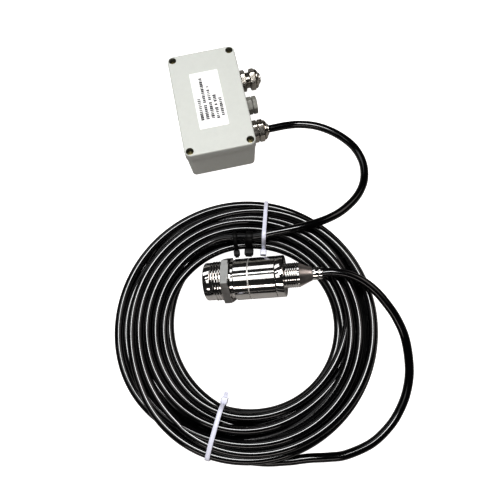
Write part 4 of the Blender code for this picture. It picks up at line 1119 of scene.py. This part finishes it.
def vent(trees):
    place = wall_place(VENT_Y)
    washer = softened([(6.2 * MM, GAP), (7.3 * MM, GAP), (7.3 * MM, 1.6 * MM), (6.2 * MM, 1.6 * MM)],
                      0.15 * MM, 2)
    placed("vent_ring", turned_mesh("washer", washer, place, 64), "gasket_rubber", "base", ["vent_washer"])
    nut = [(6.2 * MM, -7.7 * MM), *hexagon(-7.7 * MM, -4.7 * MM, 16 * MM), (6.2 * MM, -4.7 * MM)]
    placed("vent_back_nut", turned_mesh("back_nut", nut, place), "nickel", "base", ["vent_lock_nut"])
    body = [(3 * MM, -8 * MM), (5.4 * MM, -8 * MM), (5.6 * MM, -7.8 * MM), (5.6 * MM, 1.9 * MM),
            *hexagon(1.9 * MM, 7.1 * MM, 15 * MM, 0.5 * MM), (5.5 * MM, 7.1 * MM), (5.5 * MM, 5.9 * MM),
            (3 * MM, 5.9 * MM)]
    mesh = grown(turned_mesh("vent_body", body, Matrix.Identity(4)), trees["thread"], "vent_grey", place,
                 Radius=5.55 * MM, Pitch=1.5 * MM, Length=7 * MM, Start=-7.6 * MM, Ridge=0.36 * MM)
    placed("vent_threaded", mesh, "vent_grey", "base", ["vent_body"])
    half, corner = 7.5 * MM, 8.47 * MM
    cap = [(0, 7.4 * MM), (half * 0.98, 7.4 * MM, half * 0.98), (half, 7.7 * MM, corner),
           (half, 10.9 * MM, corner),
           (half * 0.985, 11.4 * MM, corner * 0.97), (half * 0.93, 11.7 * MM, corner * 0.92),
           (half * 0.85, 11.8 * MM, half * 0.85), (0, 11.8 * MM)]
    placed("vent_cover", turned_mesh("vent_cap", cap, place, 96, 30), "vent_grey", "base", ["vent_cap"])


# ---------------------------------------------------------------- probe

def ledge(radius, start, end, edge):
    """Stations of a band whose two edges are rounded over."""
    return [(radius - edge, start), (radius - 0.3 * edge, start + 0.3 * edge), (radius, start + edge),
            (radius, end - edge), (radius - 0.3 * edge, end - 0.3 * edge), (radius - edge, end)]


def banded(mesh, material, start, end, least):
    """Another material on the faces between two stations of the probe that lie beyond a radius."""
    mesh.materials.append(look(material))
    origin, axis = probe_place().translation, probe_place().to_3x3().col[2]
    for face in mesh.polygons:
        along = (face.center - origin).dot(axis)
        if start < along < end and (face.center - origin - along * axis).length > least:
            face.material_index = len(mesh.materials) - 1


def probe_nose(trees, sizes):
    place = probe_place()
    bore, lip = 14.2 * MM, 12.8 * MM
    face, hex_start, hex_end, neck_end = 0.0, 15.6 * MM, 22.9 * MM, 25.5 * MM
    core = 15.75 * MM
    half = 18 * MM
    stations = [(lip, 0.2 * MM), (lip + 0.2 * MM, face), (15.3 * MM, face), (15.8 * MM, 0.25 * MM),
                (16 * MM, 0.8 * MM),
                (16 * MM, 5.6 * MM), (15.7 * MM, 6.2 * MM), (core, 6.4 * MM), (core, 15.0 * MM),
                (15.2 * MM, 15.0 * MM),
                (15.2 * MM, hex_start), (half * 0.98, hex_start, half * 0.98),
                (half, hex_start + 0.35 * MM, 18.9 * MM), (half, hex_start + 0.9 * MM, 20.8 * MM),
                (half, hex_end - 0.9 * MM, 20.8 * MM), (half, hex_end - 0.35 * MM, 18.9 * MM),
                (half * 0.98, hex_end, half * 0.98), (15.4 * MM, hex_end), (15.4 * MM, neck_end - 0.3 * MM),
                (15.1 * MM, neck_end), (11.6 * MM, neck_end), (11.6 * MM, hex_start), (bore, hex_start),
                (bore, 1.2 * MM), (lip, 1.2 * MM)]
    mesh = grown(turned_mesh("nose", stations, Matrix.Identity(4), 144), trees["thread"], "stainless",
                 place,
                 Radius=core - 0.02 * MM, Pitch=sizes.nose_pitch, Length=7.6 * MM, Start=6.9 * MM,
                 Ridge=0.85 * MM)
    placed("nose_threaded", mesh, "stainless", "base", ["probe_nose"])
    # Painted shade: the hex flats take the darker, satin copy of the stainless.
    banded(mesh, "stainless_satin_shade", hex_start + 0.3 * MM, hex_end - 0.3 * MM, 17 * MM)


def probe_body():
    start, end, radius, groove = 25.8 * MM, 60.3 * MM, 17.3 * MM, 37.8 * MM
    bore = 15.5 * MM
    stations = [(bore, start), (radius - 0.6 * MM, start), (radius - 0.2 * MM, start + 0.2 * MM),
                (radius, start + 0.6 * MM), (radius, groove - 0.15 * MM), (radius - 0.12 * MM, groove),
                (radius - 0.5 * MM, groove + 0.1 * MM), (radius - 0.5 * MM, groove + 0.9 * MM),
                (radius - 0.12 * MM, groove + MM), (radius, groove + 1.15 * MM), (radius, end - 0.25 * MM),
                (radius - 0.25 * MM, end), (bore, end)]
    mesh = turned_mesh("body", stations, probe_place(), 144)
    placed("body_tube_polished", mesh, "stainless", "base", ["probe_body_tube"])
    # Painted highlight: the groove takes the lighter, rougher stainless so it shows as a light ring.
    banded(mesh, "stainless_painted_highlight", groove - 0.2 * MM, groove + 1.2 * MM, 16 * MM)


def probe_tail(trees, sizes):
    place = probe_place()
    radius, start, face, cone, cone_end = 17.3 * MM, 60.6 * MM, 67.2 * MM, 79.7 * MM, 89.7 * MM
    core = 9.85 * MM
    stations = [(15.5 * MM, start), *ledge(radius, start, face, 0.5 * MM), (10.2 * MM, face),
                (core, face + 0.5 * MM),
                (core, cone - 0.9 * MM), (9.9 * MM, cone - 0.2 * MM), (9.7 * MM, cone),
                (5.5 * MM, cone_end - 0.3 * MM),
                (5.3 * MM, cone_end), (3.85 * MM, cone_end), (3.85 * MM, cone), (6.9 * MM, cone),
                (6.9 * MM, 65.2 * MM),
                (15.5 * MM, 65.2 * MM)]
    mesh = grown(turned_mesh("tail", stations, Matrix.Identity(4), 144), trees["thread"], "stainless",
                 place,
                 Radius=core, Pitch=sizes.tail_pitch, Length=10.6 * MM, Start=face + 0.9 * MM,
                 Ridge=0.62 * MM)
    placed("tail_threaded", mesh, "stainless", "base", ["probe_tail"])
    banded(mesh, "stainless_warm", cone, cone_end, 4.5 * MM)
    ferrule = [(3.85 * MM, FERRULE_START), *ledge(5.3 * MM, FERRULE_START, 94.6 * MM, 0.25 * MM),
               *ledge(5.15 * MM, 94.9 * MM, PROBE_END, 0.4 * MM), (3.85 * MM, PROBE_END)]
    placed("ferrule_crimped", turned_mesh("ferrule", ferrule, place), "stainless", "base",
           ["cable_ferrule"])


# ---------------------------------------------------------------- inside the box

def inside_box():
    """Screw clamps on the terminal block, and parts on the circuit board."""
    low = ON_BOARD
    blocks = []
    generator = random.Random(RANDOM_SEED)
    half = (4.5 * MM, 15 * MM)
    cx, cy, _ = TERMINAL_CENTRE
    body = lofted_mesh("terminal", [rounded_rectangle(half[0] - i, half[1] - i, 0.8 * MM, z, 3) for i, z in
                                    ((0, low), (0, low + 9.7 * MM), (0.3 * MM, low + 10 * MM))],
                       Matrix.Translation((cx, cy, 0)))
    cuts = []
    for k in range(5):
        y = cy + (k - 2) * TERMINAL_PITCH
        cuts.append(cutter(2.0 * MM, -4 * MM, MM, upright_place(cx - MM, y, low + 10 * MM), 24))
        cuts.append(lofted_mesh("mouth", [[(x, y + sy * 2.1 * MM, low + z * MM) for sy, z in
                                           ((-1, 1.5), (1, 1.5), (1, 6), (-1, 6))]
                                          for x in (cx + 2.5 * MM, cx + 6 * MM)]))
        screw = turned_mesh("clamp", [(0, -3.6 * MM), (1.7 * MM, -3.6 * MM), (1.7 * MM, -1.6 * MM),
                                      (1.4 * MM, -1.3 * MM), (0, -1.3 * MM)],
                            upright_place(cx - MM, y, low + 10 * MM), 24)
        slot = [[(sx * 2 * MM, sy * 0.3 * MM, z) for sx, sy in SQUARE]
                for z in (-2.1 * MM, 0)]
        turn = upright_place(cx - MM, y, low + 10 * MM) @ Matrix.Rotation(generator.uniform(0, 3), 4, "Z")
        blocks.append(carved("clamp", screw, [lofted_mesh("slot", slot, turn)]))
    placed("terminal_housing", carved("terminal", body, cuts), "terminal_green", "base", ["terminal_block"])
    placed("terminal_clamps", joined("clamps", blocks), "nickel", "base", [])
    parts = []
    for x, y, w, l, h in ((-14, 10, 7, 10, 2), (-14, -12, 5, 5, 1.6), (-4, 24, 4, 9, 3),
                          (-20, 26, 3.4, 6, 1.8),
                          (-8, -4, 2, 3.6, 1.1), (-4, 6, 2, 3.6, 1.1), (-20, -2, 2, 3.6, 1.1),
                          (4, 12, 2, 3.6, 1.1)):
        parts.append(lofted_mesh("part", [rounded_rectangle((w / 2 - i) * MM, (l / 2 - i) * MM, 0.3 * MM, z,
                                                            2)
                                          for i, z in ((0, low), (0, low + (h - 0.2) * MM),
                                                       (0.2, low + h * MM))],
                                 Matrix.Translation((x * MM, y * MM, 0))))
    for x, y in ((-18, 16), (6, 30)):
        parts.append(turned_mesh("can", softened([(0, low), (3.1 * MM, low), (3.1 * MM, low + 6 * MM),
                                                  (0, low + 6 * MM)], 0.4 * MM, 3, closed=False),
                                 Matrix.Translation((x * MM, y * MM, 0)), 32))
    placed("board_parts", joined("board_parts", parts), "backing_grey", "base", [])


def wires():
    start, face, height = Vector(BOX_LEAD[0]) * MM, TERMINAL_FACE, WIRE_HEIGHT
    for n, colour in enumerate(("wire_brown", "wire_blue", "wire_yellow")):
        leaving = start.y + (n - 1) * WIRE_SPACING
        landing = TERMINAL_CENTRE.y + (n - 1) * TERMINAL_PITCH
        route = [Vector((start.x - GAP, leaving, start.z)), Vector((start.x - 2 * MM, leaving, start.z)),
                 Vector((face + 2 * WIRE_RADIUS, landing, height)), Vector((face, landing, height))]
        curve = tube(colour, smooth_points(route, 0.5 * MM), WIRE_RADIUS, 4, colour)
        piece = link(colour + "_insulated", curve)
        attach(piece, "base")
        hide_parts(colour)


CARRIED = {
    "insert_brass": ("screw_insert_1", "screw_insert_2", "screw_insert_3", "screw_insert_4"),
    "gasket_rubber": ("lid_gasket", "window_seal", "body_seal_front", "body_seal_rear", "tail_seal"),
    "board_green": ("circuit_board", "probe_board"), "membrane_white": ("vent_membrane",),
    "window_epoxy": ("sensing_window",), "ceramic_piezo": ("piezo_disc",), "backing_grey": ("backing_block",),
}


def carried_pieces():
    """CAD nodes whose shape is right keep it and get their material."""
    for material, nodes in CARRIED.items():
        for name in nodes:
            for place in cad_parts[name].material_slots:
                place.material = look(material)


# ---------------------------------------------------------------- stage

def area_light(name, place, aim, size, radiance, colour):
    """A soft box of an even brightness; its power follows from its size."""
    data = bpy.data.lights.new(name, "AREA")
    data.shape = "RECTANGLE"
    data.size, data.size_y = size
    data.energy = radiance * size[0] * size[1] * math.pi
    data.color = colour
    lamp = bpy.data.objects.new(name, data)
    back = (Vector(place) - Vector(aim)).normalized()
    lamp.matrix_world = frame_matrix(Vector(place), back, (1, 0, 0))
    bpy.context.scene.collection.objects.link(lamp)


def seen_by_camera(tree, socket, otherwise, seen):
    """One strength for what the camera sees itself, and another for light and reflections."""
    path = tree.nodes.new("ShaderNodeLightPath")
    strength = node(tree, "ShaderNodeMapRange", To_Min=otherwise, To_Max=seen)
    wire(tree, path, "Is Camera Ray", strength, "Value")
    tree.links.new(strength.outputs["Result"], socket)


LIGHTS_AIM = Vector((-0.02, -0.172, 0.024))
# Lights: name, place, aim (None is straight down), size, radiance, colour
LIGHTS = (
    ("key", (-0.011, -0.07, 0.82), None, (0.28, 0.26), 19.5, (1, 1, 1)),
    ("band", (-0.39, -0.27, 0.80), None, (0.46, 0.31), 2.0, (1, 0.99, 0.97)),
    ("line", (-0.39, 0.08, 0.80), None, (0.46, 0.10), 3.0, (1, 1, 1)),
    ("far", (-0.27, 0.43, 0.55), LIGHTS_AIM, (0.60, 0.28), 1.9, (0.97, 0.98, 1)),
    ("near", (-0.25, -0.872, 0.41), LIGHTS_AIM, (0.70, 0.14), 5.5, (1, 0.93, 0.9)),
    ("side", (0.47, -0.06, 0.68), LIGHTS_AIM, (0.36, 0.50), 2.2, (1, 0.93, 0.89)),
)
CAMERA_PLACE = Vector((-6.9, -272.2, 405.3)) * MM
CAMERA_RIGHT = Vector((0.97818, -0.20489, -0.03342))
CAMERA_UP = Vector((0.20489, 0.92739, 0.31312))
CAMERA_LENS = 33.77
FLOOR_WHITE, WORLD_WHITE, WORLD_LIGHT = 0.92, 1.0, 0.03  # the first two are for the camera's own rays


def build_stage():
    floor = link("floor", mesh_from("floor", [(-3, -3, 0), (3, -3, 0), (3, 3, 0), (-3, 3, 0)],
                                    [(0, 1, 2, 3)]))
    material = bpy.data.materials.new("floor_white")
    material.use_nodes = True
    shader = material.node_tree.nodes["Principled BSDF"]
    shader.inputs["Base Color"].default_value = (0.42, 0.41, 0.40, 1)
    shader.inputs["Roughness"].default_value = 0.9
    shader.inputs["Specular IOR Level"].default_value = 0.0
    shader.inputs["Emission Color"].default_value = (1, 1, 1, 1)
    seen_by_camera(material.node_tree, shader.inputs["Emission Strength"], 0.0, FLOOR_WHITE)
    floor.data.materials.append(material)
    world = bpy.data.worlds.new("studio")
    world.use_nodes = True
    world.node_tree.nodes["Background"].inputs["Color"].default_value = (1, 1, 1, 1)
    strength = world.node_tree.nodes["Background"].inputs["Strength"]
    seen_by_camera(world.node_tree, strength, WORLD_LIGHT, WORLD_WHITE)
    bpy.context.scene.world = world
    for name, place, aim, size, radiance, colour in LIGHTS:
        area_light(name, place, aim or (place[0], place[1], 0), size, radiance, colour)
    camera = bpy.data.cameras.new("camera")
    camera.lens = CAMERA_LENS
    camera.sensor_width = 36
    camera.sensor_fit = "HORIZONTAL"
    camera.clip_start = 0.01
    eye = bpy.data.objects.new("camera", camera)
    turn = Matrix((CAMERA_RIGHT, CAMERA_UP, CAMERA_RIGHT.cross(CAMERA_UP))).transposed().to_4x4()
    eye.matrix_world = Matrix.Translation(CAMERA_PLACE) @ turn
    bpy.context.scene.collection.objects.link(eye)
    bpy.context.scene.camera = eye
    view = bpy.context.scene.view_settings
    view.view_transform, view.exposure, view.gamma = "Standard", 0.15, 0.8


# ---------------------------------------------------------------- operators

class PROBE_OT_stage(bpy.types.Operator):
    """Materials, floor, lights and camera"""
    bl_idname = "probe.stage"
    bl_label = "Stage and materials"

    def execute(self, context):
        make_materials(context.scene.probe_colours)
        build_stage()
        return {"FINISHED"}


class PROBE_OT_cable(bpy.types.Operator):
    """The coiled cable and the ties round it"""
    bl_idname = "probe.cable"
    bl_label = "Cable and ties"

    def execute(self, context):
        sizes = context.scene.probe_sizes
        piece, points = cable(sizes)
        ties = [tie(entry, points, sizes) for entry in TIES]
        return {"FINISHED"}


def trees():
    """The node trees, built once."""
    made = {"thread": ("screw_thread", thread_tree), "ring": ("ring_of_blocks", ring_tree),
            "print": ("printed_line", print_tree)}
    return {key: bpy.data.node_groups.get(name) or build() for key, (name, build) in made.items()}


class PROBE_OT_box(bpy.types.Operator):
    """The box's base and lid"""
    bl_idname = "probe.box"
    bl_label = "Box"

    def execute(self, context):
        box_base()
        box_lid()
        return {"FINISHED"}


class PROBE_OT_screws(bpy.types.Operator):
    """The four lid screws"""
    bl_idname = "probe.screws"
    bl_label = "Lid screws"

    def execute(self, context):
        lid_screws(trees())
        return {"FINISHED"}


class PROBE_OT_label(bpy.types.Operator):
    """The label and its blank printed lines"""
    bl_idname = "probe.label"
    bl_label = "Label"

    def execute(self, context):
        label(trees())
        return {"FINISHED"}


class PROBE_OT_glands(bpy.types.Operator):
    """Both cable glands and the blanking plug in the upper one"""
    bl_idname = "probe.glands"
    bl_label = "Glands"

    def execute(self, context):
        gland("upper", UPPER_GLAND_Y, NUT_TRAVEL, trees())
        gland("lower", LOWER_GLAND_Y, 0.0, trees())
        blanking_plug()
        return {"FINISHED"}


class PROBE_OT_vent(bpy.types.Operator):
    """The vent plug between the glands"""
    bl_idname = "probe.vent"
    bl_label = "Vent"

    def execute(self, context):
        vent(trees())
        return {"FINISHED"}


class PROBE_OT_probe(bpy.types.Operator):
    """The probe's threaded nose, body, threaded tail and ferrule"""
    bl_idname = "probe.probe"
    bl_label = "Probe"

    def execute(self, context):
        sizes = context.scene.probe_sizes
        probe_nose(trees(), sizes)
        probe_body()
        probe_tail(trees(), sizes)
        return {"FINISHED"}


class PROBE_OT_inside(bpy.types.Operator):
    """Terminals, board parts and wires in the box, and the pieces carried over from the CAD"""
    bl_idname = "probe.inside"
    bl_label = "Inner pieces"

    def execute(self, context):
        inside_box()
        wires()
        carried_pieces()
        return {"FINISHED"}


OPERATORS = (PROBE_OT_stage, PROBE_OT_cable, PROBE_OT_box, PROBE_OT_screws, PROBE_OT_label, PROBE_OT_glands,
             PROBE_OT_vent, PROBE_OT_probe, PROBE_OT_inside)


class PROBE_PT_panel(bpy.types.Panel):
    bl_label = "Ultrasonic probe"
    bl_idname = "PROBE_PT_panel"
    bl_space_type = "VIEW_3D"
    bl_region_type = "UI"
    bl_category = "Probe"

    def draw(self, context):
        for item in OPERATORS:
            self.layout.operator(item.bl_idname)


def register():
    for item in (ProbeSizes, ProbeColours, *OPERATORS, PROBE_PT_panel):
        bpy.utils.register_class(item)
    bpy.types.Scene.probe_sizes = bpy.props.PointerProperty(type=ProbeSizes)
    bpy.types.Scene.probe_colours = bpy.props.PointerProperty(type=ProbeColours)


def unregister():
    del bpy.types.Scene.probe_colours
    del bpy.types.Scene.probe_sizes
    for item in reversed((ProbeSizes, ProbeColours, *OPERATORS, PROBE_PT_panel)):
        bpy.utils.unregister_class(item)


def main():
    register()
    for item in OPERATORS:
        group, name = item.bl_idname.split(".")
        getattr(getattr(bpy.ops, group), name)()


if __name__ == "__main__":
    main()
